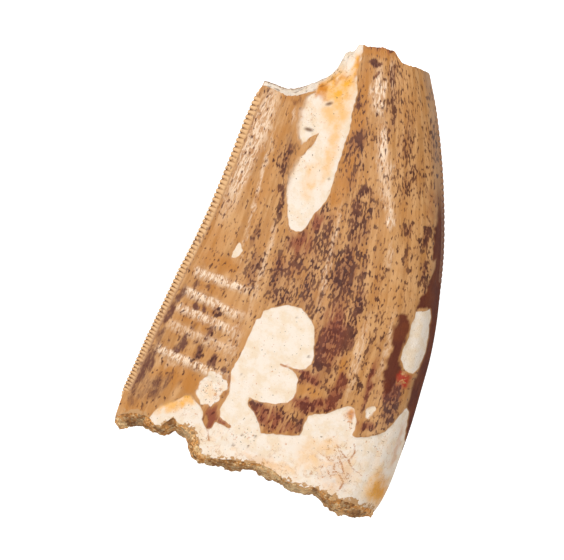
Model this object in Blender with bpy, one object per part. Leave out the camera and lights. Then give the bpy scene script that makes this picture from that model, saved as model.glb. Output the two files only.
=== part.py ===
"""Broken crown of a large meat-eating dinosaur's tooth, with sandstone on its broken base.

The crown is a flattened cone that has lost its tip and its root, with a saw edge down each side. It lies on
its inner face, with +Y towards the missing tip and +X towards its front edge. Places on it are in
millimetres, as a ruler laid along the crown would give them: across from left to right, and along towards
the tip.
"""
import functools
import itertools
import math

import bmesh
import bpy
import numpy as np
from mathutils import Matrix

MM = 0.001
MIDDLE = (2.4, 2.4)

# Long edges of the crown, as (along, across)
REAR_EDGE = (
    (-22, -14.2), (-18, -14.05), (-14, -13.4), (-10, -12.75), (-6, -12.0), (-2, -11.25), (2, -10.4),
    (6, -9.7), (12, -8.9), (18, -8.2), (22, -7.55), (29, -6.2),
)
FRONT_EDGE = (
    (-24, 16.7), (-22, 17.6), (-20, 18.1), (-16, 18.55), (-12, 18.85), (-8, 18.95), (-4, 19.0),
    (0, 18.7), (4, 18.1), (8, 17.4), (12, 16.4), (16, 15.2), (20, 13.8), (24, 12.2), (29, 9.85),
)

# Broken ends, as (across, along): where the outer face stops, and the line seen beyond it
TIP_BREAK = (
    (-7.4, 21.3), (-5.5, 21.0), (-4.6, 20.8), (-3.5, 21.1), (-1.3, 22.4), (0.1, 23.9), (0.7, 24.8),
    (1.0, 25.6), (1.2, 27.0), (1.6, 27.5), (1.9, 28.6), (3.2, 28.6), (4.5, 28.9), (6.0, 28.8),
    (7.2, 27.7), (9.2, 27.7), (10.2, 27.5),
)
TIP_RIM = (
    (-7.7, 21.9), (-5.0, 21.7), (-4.0, 21.95), (-3.0, 22.5), (-1.0, 24.0), (-0.3, 24.7), (0.1, 25.4),
    (0.4, 26.5), (0.6, 27.5), (1.6, 28.0), (1.9, 28.9), (3.2, 28.75), (4.5, 29.0), (6.0, 29.0),
    (7.2, 27.9), (9.2, 27.85), (10.4, 27.65),
)
BASE_BREAK = (
    (-14.0, -19.7), (-12.5, -19.0), (-10.5, -18.9), (-9.5, -19.6), (-8.8, -19.5), (-7.6, -18.2),
    (-7.0, -18.7), (-5.0, -18.9), (-4.1, -20.3), (-3.5, -21.3), (-2.0, -21.5), (0.5, -21.0),
    (3.5, -20.7), (5.0, -21.0), (6.5, -21.7), (9.0, -21.9), (9.9, -21.6), (12.8, -22.2), (16.0, -22.4),
    (17.4, -22.5),
)
CRUST_EDGE = (
    (-14.2, -20.3), (-13.3, -21.0), (-12.4, -20.5), (-11.5, -20.2), (-8.5, -20.4), (-7.7, -20.1),
    (-7.0, -19.5), (-5.6, -20.4), (-4.9, -21.7), (-4.3, -22.4), (-3.5, -22.7), (-1.0, -22.3),
    (0.4, -22.6), (1.6, -21.9), (2.5, -21.8), (4.5, -22.2), (6.5, -22.4), (8.5, -22.8), (10.5, -22.7),
    (11.7, -23.6), (12.4, -24.0), (13.5, -24.2), (15.1, -24.1), (16.0, -23.6), (16.8, -23.4),
)

# Thickness of the crown, as (along, height)
EDGE_LEVEL = ((-24, 5.0), (29, 3.6))
OUTER_BULGE = ((-24, 8.0), (-8, 7.8), (8, 6.7), (20, 5.5), (29, 4.6))
INNER_BULGE = ((-24, 5.4), (29, 3.9))
FRONT_HALF_THICKNESS = ((-24, 2.0), (-5, 1.6), (5, 0.8), (15, 0.4), (29, 0.35))
REAR_HALF_THICKNESS = 0.2

# Cross-section, as (share of the width from the rear edge, share of the bulge)
OUTER_PROFILE = (
    (0, 0), (0.04, 0.04), (0.10, 0.14), (0.25, 0.42), (0.40, 0.68), (0.55, 0.87), (0.68, 0.97),
    (0.76, 1.0), (0.84, 0.96), (0.91, 0.82), (0.96, 0.58), (1, 0),
)
INNER_PROFILE = (
    (0, 0), (0.06, 0.26), (0.15, 0.56), (0.30, 0.86), (0.50, 1.0), (0.70, 0.96), (0.85, 0.74),
    (0.95, 0.40), (1, 0),
)

# Crest along the upper part of the outer face, as (along, across)
CREST = ((4, 11.5), (10, 10.4), (18, 7.9), (26, 5.2))
CREST_HEIGHT = 0.25
CREST_HALF_WIDTH = 0.9
CREST_FADE = 5.0

# Folds in the enamel beside the rear edge: how far along each is at its two ends
FOLDS = ((-1.2, -1.9), (-3.7, -4.9), (-5.8, -6.9), (-8.0, -9.1), (-11.2, -12.2))
FOLD_SPAN = (-10.5, -3.5)
FOLD_HEIGHT = 0.28
FOLD_HALF_WIDTH = 0.6
FOLD_MARGIN = 1.0
FOLD_FADE = 1.4

# Saw edges, with (along, pitch) for the coarse rear one
REAR_TEETH_SPAN = (-17.5, 21.4)
REAR_TEETH_PITCH = ((-18, 0.41), (-6, 0.45), (8, 0.555), (22, 0.58))
REAR_TOOTH = {"reach": 0.36, "root": 1.1, "height": 0.56, "tilt": 14}
FRONT_TEETH_SPAN = (0.5, 26.5)
FRONT_TEETH_PITCH = ((0, 0.68), (27, 0.68))
FRONT_TOOTH = {"reach": 0.1, "root": 0.6, "height": 0.62, "tilt": 0}
TOOTH_SIDES = 4
TOOTH_WIDTH_SHARE = 0.86
TOOTH_TIP_SHARE = 0.5

# Where the enamel has flaked off, as closed outlines of (across, along)
ENAMEL_THICKNESS = 0.25
UPPER_FLAKE = (
    (-4.6, 30), (-1.6, 22.0), (-2.3, 21.2), (-2.6, 19.5), (-2.4, 17.4), (-1.9, 16.3), (-1.2, 15.9),
    (-0.4, 16.6), (-0.3, 16.0), (-1.2, 14.3), (-1.9, 12.3), (-1.9, 10.4), (-1.2, 8.2), (-0.7, 6.5),
    (0.3, 6.0), (1.2, 6.4), (1.9, 8.3), (2.8, 10.2), (3.1, 13.5), (3.35, 18.5), (3.1, 22), (2.55, 25.5),
    (2.4, 30),
)
LOWER_FLAKE = (
    (-10.6, -20), (-10.0, -18.2), (-8.4, -16.5), (-6.4, -15.2), (-5.0, -16.4), (-4.5, -17.6),
    (-3.5, -18.6), (-2.9, -17.5), (-1.1, -17.7), (-1.0, -17.3), (-2.4, -16.9), (-2.8, -15.3),
    (-2.2, -13.3), (-2.6, -11.5), (-1.8, -7.5), (-1.4, -5.2), (-0.7, -3.7), (1.4, -2.4), (3.2, -2.4),
    (4.7, -3.4), (5.6, -5.2), (6.0, -7.2), (5.9, -8.5), (4.2, -9.35), (5.0, -10.3), (5.1, -12.3),
    (4.2, -13.3), (2.0, -13.8), (0.2, -13.75), (0.3, -14.6), (1.4, -15.5), (2.5, -17.3), (6.8, -16.4),
    (7.0, -15.0), (7.5, -13.8), (10.0, -12.7), (11.3, -11.7), (12.1, -11.8), (12.7, -14.9),
    (14.8, -14.3), (16.4, -13.2), (17.8, -10.1), (18.4, -11.5), (18.8, -14.5), (21, -14.5), (21, -26),
    (-11, -26),
)
SPECKLED_FLAKE = (
    (-5.0, -12.1), (-5.6, -13.4), (-6.0, -14.5), (-5.5, -15.4), (-4.2, -15.8), (-3.2, -15.0),
    (-2.8, -13.2), (-3.9, -12.0),
)
FRONT_FLAKE = (
    (16.0, 0.7), (15.9, -2.0), (15.7, -4.5), (16.1, -6.0), (17.0, -6.3), (17.9, -5.6), (18.3, -3.2),
    (17.9, -0.5), (17.5, 1.3),
)
SMALL_FLAKE = ((-5.2, 3.1), (-5.9, 2.2), (-5.9, 1.2), (-5.4, 1.1), (-5.1, 2.2))
LOW_FLAKE = ((14.2, -10.8), (14.5, -11.4), (14.1, -12.3), (13.5, -12.6), (13.3, -11.9), (13.6, -11.2))
FLAKES = (UPPER_FLAKE, LOWER_FLAKE, SPECKLED_FLAKE, FRONT_FLAKE, SMALL_FLAKE, LOW_FLAKE)
FLAKE_CUTTER_HEIGHTS = (1.0, 20.0)
EDGE_FADE = 0.05
EDGE_LIFT = 0.05
SPREAD = 0.6

# How finely the crown is divided: across, along and through its thickness
COLUMNS = (
    0, 0.04, 0.11, 0.20, 0.28, 0.33, 0.375, 0.41, 0.45, 0.51,
    0.57, 0.64, 0.71, 0.78, 0.85, 0.91, 0.955, 0.985, 1,
)
ROWS = np.concatenate((np.linspace(-20, -14, 4), np.linspace(-13, 1.4, 25), np.linspace(3, 28, 11)))
LAYERS = 2
BASE_BEND = 8.0
TIP_BEND = 18.0

# Sandstone crust
CRUST_GAP = 0.35
CRUST_HEIGHT_STEPS = 6
CRUST_STEPS_PER_COLUMN = 3
CRUST_RIM = 0.08
CRUST_RIM_SWELL = 0.5
CRUST_THINNEST = 0.35
CRUST_GRAIN = 0.16
BASE_SLOPE = 0.4
SEED = 11

SHARP_ANGLE = 35
TOOTH_COLOUR = (0.45, 0.27, 0.12, 1)
SAND_COLOUR = (0.30, 0.22, 0.13, 1)


def clear_scene():
    """Empty the scene."""
    for obj in list(bpy.data.objects):
        bpy.data.objects.remove(obj)


def new_collection(name):
    """A collection of its own for some of the objects."""
    collection = bpy.data.collections.new(name)
    bpy.context.scene.collection.children.link(collection)
    return collection


def new_material(name, colour, roughness):
    """A plain finish."""
    material = bpy.data.materials.new(name)
    material.use_nodes = True
    shader = material.node_tree.nodes["Principled BSDF"]
    shader.inputs["Base Color"].default_value = colour
    shader.inputs["Roughness"].default_value = roughness
    shader.inputs["Metallic"].default_value = 0
    return material


def new_object(name, bm, collection, material=None):
    """An object made from a finished bmesh, with its faces pointing out."""
    bmesh.ops.recalc_face_normals(bm, faces=bm.faces)
    mesh = bpy.data.meshes.new(name)
    bm.to_mesh(mesh)
    bm.free()
    obj = bpy.data.objects.new(name, mesh)
    collection.objects.link(obj)
    if material:
        mesh.materials.append(material)
    return obj


def curve_through(stations, at):
    """Smooth curve through (place, value) stations, with the slope at each taken from its neighbours."""
    places, values = np.array(stations, dtype=float).T
    slopes = np.gradient(values, places)
    at = min(max(at, places[0]), places[-1])
    k = min(max(int(np.searchsorted(places, at)) - 1, 0), len(places) - 2)
    run = places[k + 1] - places[k]
    f = (at - places[k]) / run
    return (
        values[k] * (1 + 2 * f) * (1 - f) ** 2
        + values[k + 1] * f ** 2 * (3 - 2 * f)
        + slopes[k] * run * f * (1 - f) ** 2
        - slopes[k + 1] * run * f ** 2 * (1 - f)
    )


def ease(share):
    """Goes smoothly from 0 to 1 as the share does."""
    share = min(max(share, 0.0), 1.0)
    return share * share * (3 - 2 * share)


def hump(distance, half_width):
    """Rounded ridge, 1 at its middle and near 0 at twice its half width."""
    return math.exp(-((distance / half_width) ** 2))


def across_at(share, along):
    """Place across the crown, from its share of the width there."""
    left = curve_through(REAR_EDGE, along)
    return left + share * (curve_through(FRONT_EDGE, along) - left)


def share_at(across, along):
    """Share of the width at a place."""
    left = curve_through(REAR_EDGE, along)
    return (across - left) / (curve_through(FRONT_EDGE, along) - left)


@functools.cache
def break_stations(outline):
    """A broken edge as shares of the width, and how far along it is at each."""
    return [share_at(across, along) for across, along in outline], [along for _, along in outline]


def break_line(outline, share):
    """How far along a broken edge is, at a share of the width."""
    return float(np.interp(share, *break_stations(outline)))


def half_thickness(share, along):
    """Half the thickness of the saw edges, blended across the crown."""
    return REAR_HALF_THICKNESS + share * (curve_through(FRONT_HALF_THICKNESS, along) - REAR_HALF_THICKNESS)


def folds(across, along):
    """Height of the enamel folds beside the rear edge."""
    start, end = FOLD_SPAN
    fade_in = ease((across - curve_through(REAR_EDGE, along) - FOLD_MARGIN) / FOLD_FADE)
    fade_out = ease((end + FOLD_FADE - across) / (2 * FOLD_FADE))
    share = (across - start) / (end - start)
    height = sum(hump(along - (a + share * (b - a)), FOLD_HALF_WIDTH) for a, b in FOLDS)
    return FOLD_HEIGHT * fade_in * fade_out * height


def crest(across, along):
    """Height of the crest along the upper part of the crown."""
    fade = ease((along - CREST[0][0]) / CREST_FADE)
    return CREST_HEIGHT * fade * hump(across - curve_through(CREST, along), CREST_HALF_WIDTH)


def outer_height(share, along):
    """Height of the outer face, where all of its enamel is left."""
    edge = half_thickness(share, along)
    bulge = (curve_through(OUTER_BULGE, along) - edge) * curve_through(OUTER_PROFILE, share)
    across = across_at(share, along)
    return curve_through(EDGE_LEVEL, along) + edge + bulge + folds(across, along) + crest(across, along)


def inner_height(share, along):
    """Height of the inner face, worn flat where the crown lies on it."""
    edge = half_thickness(share, along)
    bulge = (curve_through(INNER_BULGE, along) - edge) * curve_through(INNER_PROFILE, share)
    return max(0.0, curve_through(EDGE_LEVEL, along) - edge - bulge)


def crown_point(column, row, layer):
    """A point of the crown's skin: layer 0 is the outer face and the last one the inner face."""
    share = COLUMNS[column]
    depth = layer / LAYERS
    toward_base = ease((ROWS[0] + BASE_BEND - ROWS[row]) / BASE_BEND)
    toward_tip = ease((ROWS[row] - ROWS[-1] + TIP_BEND) / TIP_BEND)
    tip = break_line(TIP_BREAK, share) * (1 - depth) + break_line(TIP_RIM, share) * depth
    base = break_line(BASE_BREAK, share) - BASE_SLOPE * depth
    along = ROWS[row] + toward_base * (base - ROWS[0]) + toward_tip * (tip - ROWS[-1])
    height = outer_height(share, along) * (1 - depth) + inner_height(share, along) * depth
    return across_at(share, along), along, height


def dentine_point(column, row, layer):
    """A point of the dentine under the enamel, a block that is wider and longer than the crown all round."""
    across, along, height = crown_point(column, row, layer)
    share = COLUMNS[column]
    inside = ease(share / EDGE_FADE) * ease((1 - share) / EDGE_FADE)
    if layer == 0:
        height -= ENAMEL_THICKNESS * inside - EDGE_LIFT * (1 - inside)
    ends = (column, row, layer), (len(COLUMNS) - 1, len(ROWS) - 1, LAYERS)
    outward = [(index == last) - (index == 0) for index, last in zip(*ends)]
    return across + SPREAD * outward[0], along + SPREAD * outward[1], height - SPREAD * max(outward[2], 0)


def placed(point):
    """A place read with the ruler, in metres about the middle of the outline."""
    across, along, height = point
    return (across - MIDDLE[0]) * MM, (along - MIDDLE[1]) * MM, height * MM


def moulded_block(steps, place):
    """Skin of a block divided into steps three ways, with each corner where place(i, j, k) puts it."""
    bm = bmesh.new()
    corners = {}
    for corner in itertools.product(*(range(count + 1) for count in steps)):
        if any(index in (0, count) for index, count in zip(corner, steps)):
            corners[corner] = bm.verts.new(placed(place(*corner)))
    for axis in range(3):
        u, v = [other for other in range(3) if other != axis]
        for level, a, b in itertools.product((0, steps[axis]), range(steps[u]), range(steps[v])):
            ring = []
            for step_u, step_v in ((0, 0), (1, 0), (1, 1), (0, 1)):
                corner = [level] * 3
                corner[u] = a + step_u
                corner[v] = b + step_v
                ring.append(corners[tuple(corner)])
            bm.faces.new(ring)
    return bm


def crown_block(place):
    """The crown, or what lies under its enamel, with each corner where the given function puts it."""
    return moulded_block((len(COLUMNS) - 1, len(ROWS) - 1, LAYERS), place)


def add_saw_teeth(bm, edge, span, pitches, tooth, outward):
    """Small tapered teeth along an edge, each leaning a little towards the tip."""
    along = span[0]
    while along < span[1]:
        pitch = curve_through(pitches, along)
        slope = curve_through(edge, along + pitch / 2) - curve_through(edge, along - pitch / 2)
        angle = math.atan2(pitch, slope) + outward * math.radians(90 - tooth["tilt"])
        direction = np.array((math.cos(angle), math.sin(angle), 0))
        side = np.array((-math.sin(angle), math.cos(angle), 0))
        length = tooth["reach"] + tooth["root"]
        level = curve_through(EDGE_LEVEL, along)
        root = np.array((curve_through(edge, along), along, level))
        middle = root + direction * (tooth["reach"] - length / 2)
        shape = np.eye(4)
        shape[:3, 0] = side * pitch * TOOTH_WIDTH_SHARE / 2 * MM
        shape[:3, 1] = np.array((0, 0, tooth["height"])) * MM
        shape[:3, 2] = direction * length * MM
        shape[:3, 3] = placed(middle)
        bmesh.ops.create_cone(
            bm,
            cap_ends=True,
            segments=TOOTH_SIDES,
            radius1=1,
            radius2=TOOTH_TIP_SHARE,
            depth=1,
            matrix=Matrix(shape),
        )
        along += pitch


def add_prism(bm, outline):
    """Upright prism over an outline."""
    low, high = FLAKE_CUTTER_HEIGHTS
    face = bm.faces.new([bm.verts.new(placed((across, along, low))) for across, along in outline])
    made = bmesh.ops.extrude_face_region(bm, geom=[face])
    top = [item for item in made["geom"] if isinstance(item, bmesh.types.BMVert)]
    bmesh.ops.translate(bm, verts=top, vec=(0, 0, (high - low) * MM))


def base_edge_point(column, layer, part):
    """A point between two columns along one edge of the broken base."""
    following = min(column + 1, len(COLUMNS) - 1)
    here = np.array(crown_point(column, 0, layer))
    return here + part * (np.array(crown_point(following, 0, layer)) - here)


def crust_point(step, height_step, side, lumps):
    """A point of the crust: side 0 lies along the broken base, and side 1 is the lumpy outside."""
    column, part = divmod(step / CRUST_STEPS_PER_COLUMN, 1)
    outer, inner = (base_edge_point(int(column), layer, part) for layer in (0, LAYERS))
    depth = CRUST_RIM + (1 - 2 * CRUST_RIM) * height_step / CRUST_HEIGHT_STEPS
    point = outer + depth * (inner - outer)
    point[1] -= CRUST_GAP
    if side == 1:
        reach = point[1] - break_line(CRUST_EDGE, share_at(point[0], point[1]))
        swell = CRUST_RIM_SWELL + (1 - CRUST_RIM_SWELL) * math.sin(math.pi * depth)
        point[1] -= max(CRUST_THINNEST, reach) * swell
        point += lumps[step, height_step] * CRUST_GRAIN
    return tuple(point)


def make_crown(parts, cutters, material):
    """The crown, with its saw edges joined on and its flaked places sunk."""
    crown = new_object("tooth", crown_block(crown_point), parts, material)
    saw = bmesh.new()
    add_saw_teeth(saw, REAR_EDGE, REAR_TEETH_SPAN, REAR_TEETH_PITCH, REAR_TOOTH, 1)
    add_saw_teeth(saw, FRONT_EDGE, FRONT_TEETH_SPAN, FRONT_TEETH_PITCH, FRONT_TOOTH, -1)
    saw_edges = new_object("saw_edges", saw, cutters)
    dentine = new_object("dentine", crown_block(dentine_point), cutters)
    flakes = bmesh.new()
    for outline in FLAKES:
        add_prism(flakes, outline)
    flaked = new_object("flaked_enamel", flakes, cutters)
    add_boolean(flaked, "keep above the dentine", "DIFFERENCE", dentine)
    add_boolean(crown, "join saw edges", "UNION", saw_edges)
    add_boolean(crown, "flake enamel", "DIFFERENCE", flaked)
    crown.data.shade_smooth()
    crown.data.set_sharp_from_angle(angle=math.radians(SHARP_ANGLE))


def make_crust(parts, material):
    """The sandstone on the broken base."""
    columns = (len(COLUMNS) - 1) * CRUST_STEPS_PER_COLUMN
    lumps = np.random.default_rng(SEED).uniform(-1, 1, (columns + 1, CRUST_HEIGHT_STEPS + 1, 3))
    bm = moulded_block((columns, CRUST_HEIGHT_STEPS, 1), lambda *corner: crust_point(*corner, lumps))
    new_object("sandstone_matrix", bm, parts, material)


def add_boolean(obj, name, operation, other):
    """Cut or join another object, which is only a helper."""
    modifier = obj.modifiers.new(name, "BOOLEAN")
    modifier.operation = operation
    modifier.solver = "EXACT"
    modifier.object = other
    other.hide_render = True
    other.display_type = "WIRE"


def main():
    """Build the whole object."""
    clear_scene()
    parts = new_collection("fossil_tooth")
    cutters = new_collection("cutters")
    make_crown(parts, cutters, new_material("enamel", TOOTH_COLOUR, 0.35))
    make_crust(parts, new_material("sandstone", SAND_COLOUR, 0.95))


main()
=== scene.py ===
"""Looks of the broken crown of a large meat-eating dinosaur's tooth, lying on its inner face.

Places on the tooth are in millimetres, as a ruler laid along the crown would give them: across from the
rear saw edge to the front one, along towards the missing tip, and height above the surface that it lies on.
"""
import logging
import math
from dataclasses import dataclass
from enum import Enum
from typing import NamedTuple, Sequence, Union

import bpy
import numpy as np
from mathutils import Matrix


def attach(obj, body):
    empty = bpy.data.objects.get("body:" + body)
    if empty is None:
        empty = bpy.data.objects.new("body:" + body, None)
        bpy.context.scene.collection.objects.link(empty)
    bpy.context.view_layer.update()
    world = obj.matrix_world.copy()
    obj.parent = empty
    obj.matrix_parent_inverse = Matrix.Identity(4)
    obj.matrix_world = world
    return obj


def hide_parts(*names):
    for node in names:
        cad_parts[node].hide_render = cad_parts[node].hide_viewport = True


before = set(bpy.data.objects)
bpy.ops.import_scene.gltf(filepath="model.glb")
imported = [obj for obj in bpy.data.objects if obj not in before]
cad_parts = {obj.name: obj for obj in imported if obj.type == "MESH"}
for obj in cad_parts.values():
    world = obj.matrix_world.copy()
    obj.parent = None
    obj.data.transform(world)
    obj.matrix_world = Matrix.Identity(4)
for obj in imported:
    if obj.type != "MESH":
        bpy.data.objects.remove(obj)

LOG = logging.getLogger("fossil_tooth")
MM = 0.001
MIDDLE = (2.4, 2.4)
LATTICE = 256
FINE_STEPS = 4001
FAR_OUTSIDE = -9.0
EDGE_SLACK = 1e-6
LEAST_SQUARE = 1e-9
WHITE = (1.0, 1.0, 1.0, 1.0)

Stations = Sequence[tuple[float, float]]


# Shapes shared by the pieces

def curve_through(stations: Stations, at: np.ndarray) -> np.ndarray:
    """Smooth curve through stations: a cubic between neighbours, its slopes taken from the next ones.

    Args:
        stations: (place, value) pairs in rising order of place.
        at: places to read the curve at, held inside the first and last station.

    Returns:
        The curve's values at those places.
    """
    places, values = np.array(stations, dtype=float).T
    slopes = np.gradient(values, places)
    at = np.clip(at, places[0], places[-1])
    k = np.clip(np.searchsorted(places, at) - 1, 0, len(places) - 2)
    run = places[k + 1] - places[k]
    f = (at - places[k]) / run
    ends = values[k] * (1 + 2 * f) * (1 - f) ** 2 + values[k + 1] * f ** 2 * (3 - 2 * f)
    return ends + run * (slopes[k] * f * (1 - f) ** 2 - slopes[k + 1] * f ** 2 * (1 - f))


def ease(share: np.ndarray) -> np.ndarray:
    """Goes smoothly from 0 to 1 as the share does, by 3s^2 - 2s^3."""
    share = np.clip(share, 0.0, 1.0)
    return share * share * (3 - 2 * share)


def between(low: float, high: float, value: np.ndarray) -> np.ndarray:
    """Eased rise from 0 at the low value to 1 at the high one."""
    return ease((value - low) / (high - low))


def hump(distance: np.ndarray, half_width: float) -> np.ndarray:
    """Rounded ridge, exp(-(d/w)^2): 1 at its middle and near 0 at twice its half width."""
    return np.exp(-((distance / half_width) ** 2))


class Grain(NamedTuple):
    """Smooth random field: strength, lattice steps across and along, which lattice, and slant."""

    strength: float
    wide: float
    long: float
    seed: int
    slant: float = 0.0

    def at(self, across: np.ndarray, along: np.ndarray) -> np.ndarray:
        """The field, by eased blends between random numbers from -1 to 1 on its lattice.

        Args:
            across: places on the lattice's first way.
            along: places on its second way, which the slant adds to the first.

        Returns:
            The field at each place.
        """
        lattice = np.random.default_rng(self.seed).uniform(-1, 1, (LATTICE, LATTICE))
        u, v = across / self.wide + self.slant * along, along / self.long
        column, row = np.floor(u).astype(int), np.floor(v).astype(int)
        fu, fv = ease(u - column), ease(v - row)
        corners = [lattice[(column + i) % LATTICE, (row + j) % LATTICE] for i in (0, 1) for j in (0, 1)]
        near = corners[0] * (1 - fv) + corners[1] * fv
        far = corners[2] * (1 - fv) + corners[3] * fv
        return self.strength * (near * (1 - fu) + far * fu)


def grains(layers: Sequence[Grain], across: np.ndarray, along: np.ndarray) -> np.ndarray:
    """Several random fields, added up."""
    return sum(layer.at(across, along) for layer in layers)


def side_distance(side: Stations, across: np.ndarray, along: np.ndarray) -> np.ndarray:
    """Distance from each place to one straight side, given by its two ends, in millimetres."""
    (ax, ay), (bx, by) = side
    run_x, run_y = bx - ax, by - ay
    length = max(run_x * run_x + run_y * run_y, LEAST_SQUARE)
    share = np.clip(((across - ax) * run_x + (along - ay) * run_y) / length, 0, 1)
    return np.hypot(across - ax - share * run_x, along - ay - share * run_y)


def depth_inside(outline: Stations, across: np.ndarray, along: np.ndarray) -> np.ndarray:
    """Signed distance to a closed outline, in millimetres: positive inside it and negative outside.

    The distance is the least one to the outline's straight sides, and its sign comes from how many sides a
    ray crosses.

    Args:
        outline: (across, along) corners of the outline.
        across: places across the crown.
        along: places along the crown.

    Returns:
        The signed distance at each place.
    """
    nearest = np.full(across.shape, np.inf)
    inside = np.zeros(across.shape, dtype=bool)
    for (ax, ay), (bx, by) in zip(outline, (*outline[1:], outline[0])):
        nearest = np.minimum(nearest, side_distance(((ax, ay), (bx, by)), across, along))
        if by != ay:
            crossing = ax + (along - ay) / (by - ay) * (bx - ax)
            inside ^= ((ay > along) != (by > along)) & (across < crossing)
    return np.where(inside, nearest, -nearest)


class Zone(NamedTuple):
    """Soft oval patch of a tone: its middle, half width, half length, lean in degrees and strength."""

    across: float
    along: float
    half_width: float
    half_length: float
    lean: float
    strength: float


def toned(zones: Sequence[Zone], across: np.ndarray, along: np.ndarray) -> np.ndarray:
    """Strength of a tone laid down in soft ovals, each adding to what the others leave: 1 - product(1 - s).

    Args:
        zones: the ovals; a lean turns an oval's long way from straight up towards the right.
        across: places across the crown.
        along: places along the crown.

    Returns:
        The tone's strength at each place, from 0 to 1.
    """
    left = np.ones(across.shape)
    for zone in zones:
        lean = math.radians(zone.lean)
        dx = across - zone.across
        dy = along - zone.along
        u = (dx * math.cos(lean) - dy * math.sin(lean)) / zone.half_width
        v = (dx * math.sin(lean) + dy * math.cos(lean)) / zone.half_length
        left *= 1 - zone.strength * (1 - between(0.35, 1.25, np.hypot(u, v)))
    return 1 - left


# Mesh making

def grid_faces(index: np.ndarray, flipped: bool = False) -> np.ndarray:
    """Four-sided faces between neighbouring rows and columns of a grid of point numbers.

    Args:
        index: point numbers, rows by columns.
        flipped: whether the faces point the other way.

    Returns:
        One row of four point numbers for each face.
    """
    ring = [index[:-1, :-1], index[:-1, 1:], index[1:, 1:], index[1:, :-1]]
    if flipped:
        ring.reverse()
    return np.stack([corner.ravel() for corner in ring], axis=1)


def stitch(fine: np.ndarray, coarse: np.ndarray) -> np.ndarray:
    """Triangles between a closed loop and one below it that has half as many points.

    Args:
        fine: point numbers of the upper loop.
        coarse: point numbers of the lower loop, under every second point of the upper one.

    Returns:
        One row of three point numbers for each triangle.
    """
    here, halfway, beyond = fine[::2], fine[1::2], np.roll(fine, -2)[::2]
    low, low_next = coarse, np.roll(coarse, -1)
    fans = ((low, halfway, here), (low, low_next, halfway), (low_next, beyond, halfway))
    return np.concatenate([np.stack(fan, axis=1) for fan in fans])


def rim(index: np.ndarray) -> np.ndarray:
    """Point numbers round the border of a grid, seen anticlockwise from above."""
    return np.concatenate((index[0, :-1], index[:-1, -1], index[-1, :0:-1], index[:0:-1, 0]))


@dataclass
class Skin:
    """Points, faces and tones of a mesh in the making."""

    points: np.ndarray
    faces: list[np.ndarray]
    tones: dict[str, np.ndarray]

    def build(self, name: str, material: bpy.types.Material, sharp: float) -> bpy.types.Object:
        """Make the object.

        Args:
            name: the piece's name.
            material: its finish.
            sharp: the angle in degrees past which an edge isn't shaded smooth.

        Returns:
            The object, at the origin, with its place in its mesh.
        """
        placed = (self.points - np.array((*MIDDLE, 0.0))) * MM
        mesh = bpy.data.meshes.new(name)
        mesh.from_pydata(placed, [], [face for block in self.faces for face in block.tolist()])
        for tone, values in self.tones.items():
            kind, key = ("FLOAT_VECTOR", "vector") if values.ndim == 2 else ("FLOAT", "value")
            attribute = mesh.attributes.new(tone, kind, "POINT")
            attribute.data.foreach_set(key, values.astype(np.float32).ravel())
        mesh.materials.append(material)
        mesh.shade_smooth()
        mesh.set_sharp_from_angle(angle=math.radians(sharp))
        obj = bpy.data.objects.new(name, mesh)
        bpy.context.scene.collection.objects.link(obj)
        return obj


# The crown

REAR_EDGE = (
    (-22, -14.2), (-18, -14.05), (-14, -13.4), (-10, -12.75), (-6, -12.0), (-2, -11.25), (2, -10.4),
    (6, -9.7), (12, -8.9), (18, -8.2), (22, -7.55), (29, -6.2),
)
FRONT_EDGE = (
    (-24, 16.7), (-22, 17.6), (-20, 18.1), (-16, 18.55), (-12, 18.85), (-8, 18.95), (-4, 19.0), (0, 18.7),
    (4, 18.1), (8, 17.4), (12, 16.4), (16, 15.2), (20, 13.8), (24, 12.2), (29, 9.85),
)
TIP_BREAK = (
    (-7.4, 21.3), (-5.5, 21.0), (-4.6, 20.8), (-3.5, 21.1), (-1.3, 22.4), (0.1, 23.9), (0.7, 24.8),
    (1.0, 25.6), (1.2, 27.0), (1.6, 27.5), (1.9, 28.6), (3.2, 28.6), (4.5, 28.9), (6.0, 28.8), (7.2, 27.7),
    (9.2, 27.7), (10.2, 27.5),
)
TIP_RIM = (
    (-7.7, 21.9), (-5.0, 21.7), (-4.0, 21.95), (-3.0, 22.5), (-1.0, 24.0), (-0.3, 24.7), (0.1, 25.4),
    (0.4, 26.5), (0.6, 27.5), (1.6, 28.0), (1.9, 28.9), (3.2, 28.75), (4.5, 29.0), (6.0, 29.0), (7.2, 27.9),
    (9.2, 27.85), (10.4, 27.65),
)
BASE_BREAK = (
    (-14.0, -19.7), (-12.5, -19.0), (-10.5, -18.9), (-9.5, -19.6), (-8.8, -19.5), (-7.6, -18.2),
    (-7.0, -18.7), (-5.0, -18.9), (-4.1, -20.3), (-3.5, -21.3), (-2.0, -21.5), (0.5, -21.0), (3.5, -20.7),
    (5.0, -21.0), (6.5, -21.7), (9.0, -21.9), (9.9, -21.6), (12.8, -22.2), (16.0, -22.4), (17.4, -22.5),
)
EDGE_LEVEL = ((-24, 5.0), (29, 3.6))
OUTER_BULGE = ((-24, 8.0), (-8, 7.8), (8, 6.7), (20, 5.5), (29, 4.6))
INNER_BULGE = ((-24, 5.4), (29, 3.9))
FRONT_HALF_THICKNESS = ((-24, 2.0), (-5, 1.6), (5, 0.8), (15, 0.4), (29, 0.35))
REAR_HALF_THICKNESS = 0.2
OUTER_PROFILE = (
    (0, 0), (0.04, 0.04), (0.10, 0.14), (0.25, 0.42), (0.40, 0.68), (0.55, 0.87), (0.68, 0.97), (0.76, 1.0),
    (0.84, 0.96), (0.91, 0.82), (0.96, 0.58), (1, 0),
)
INNER_PROFILE = (
    (0, 0), (0.06, 0.26), (0.15, 0.56), (0.30, 0.86), (0.50, 1.0), (0.70, 0.96), (0.85, 0.74), (0.95, 0.40),
    (1, 0),
)
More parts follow.
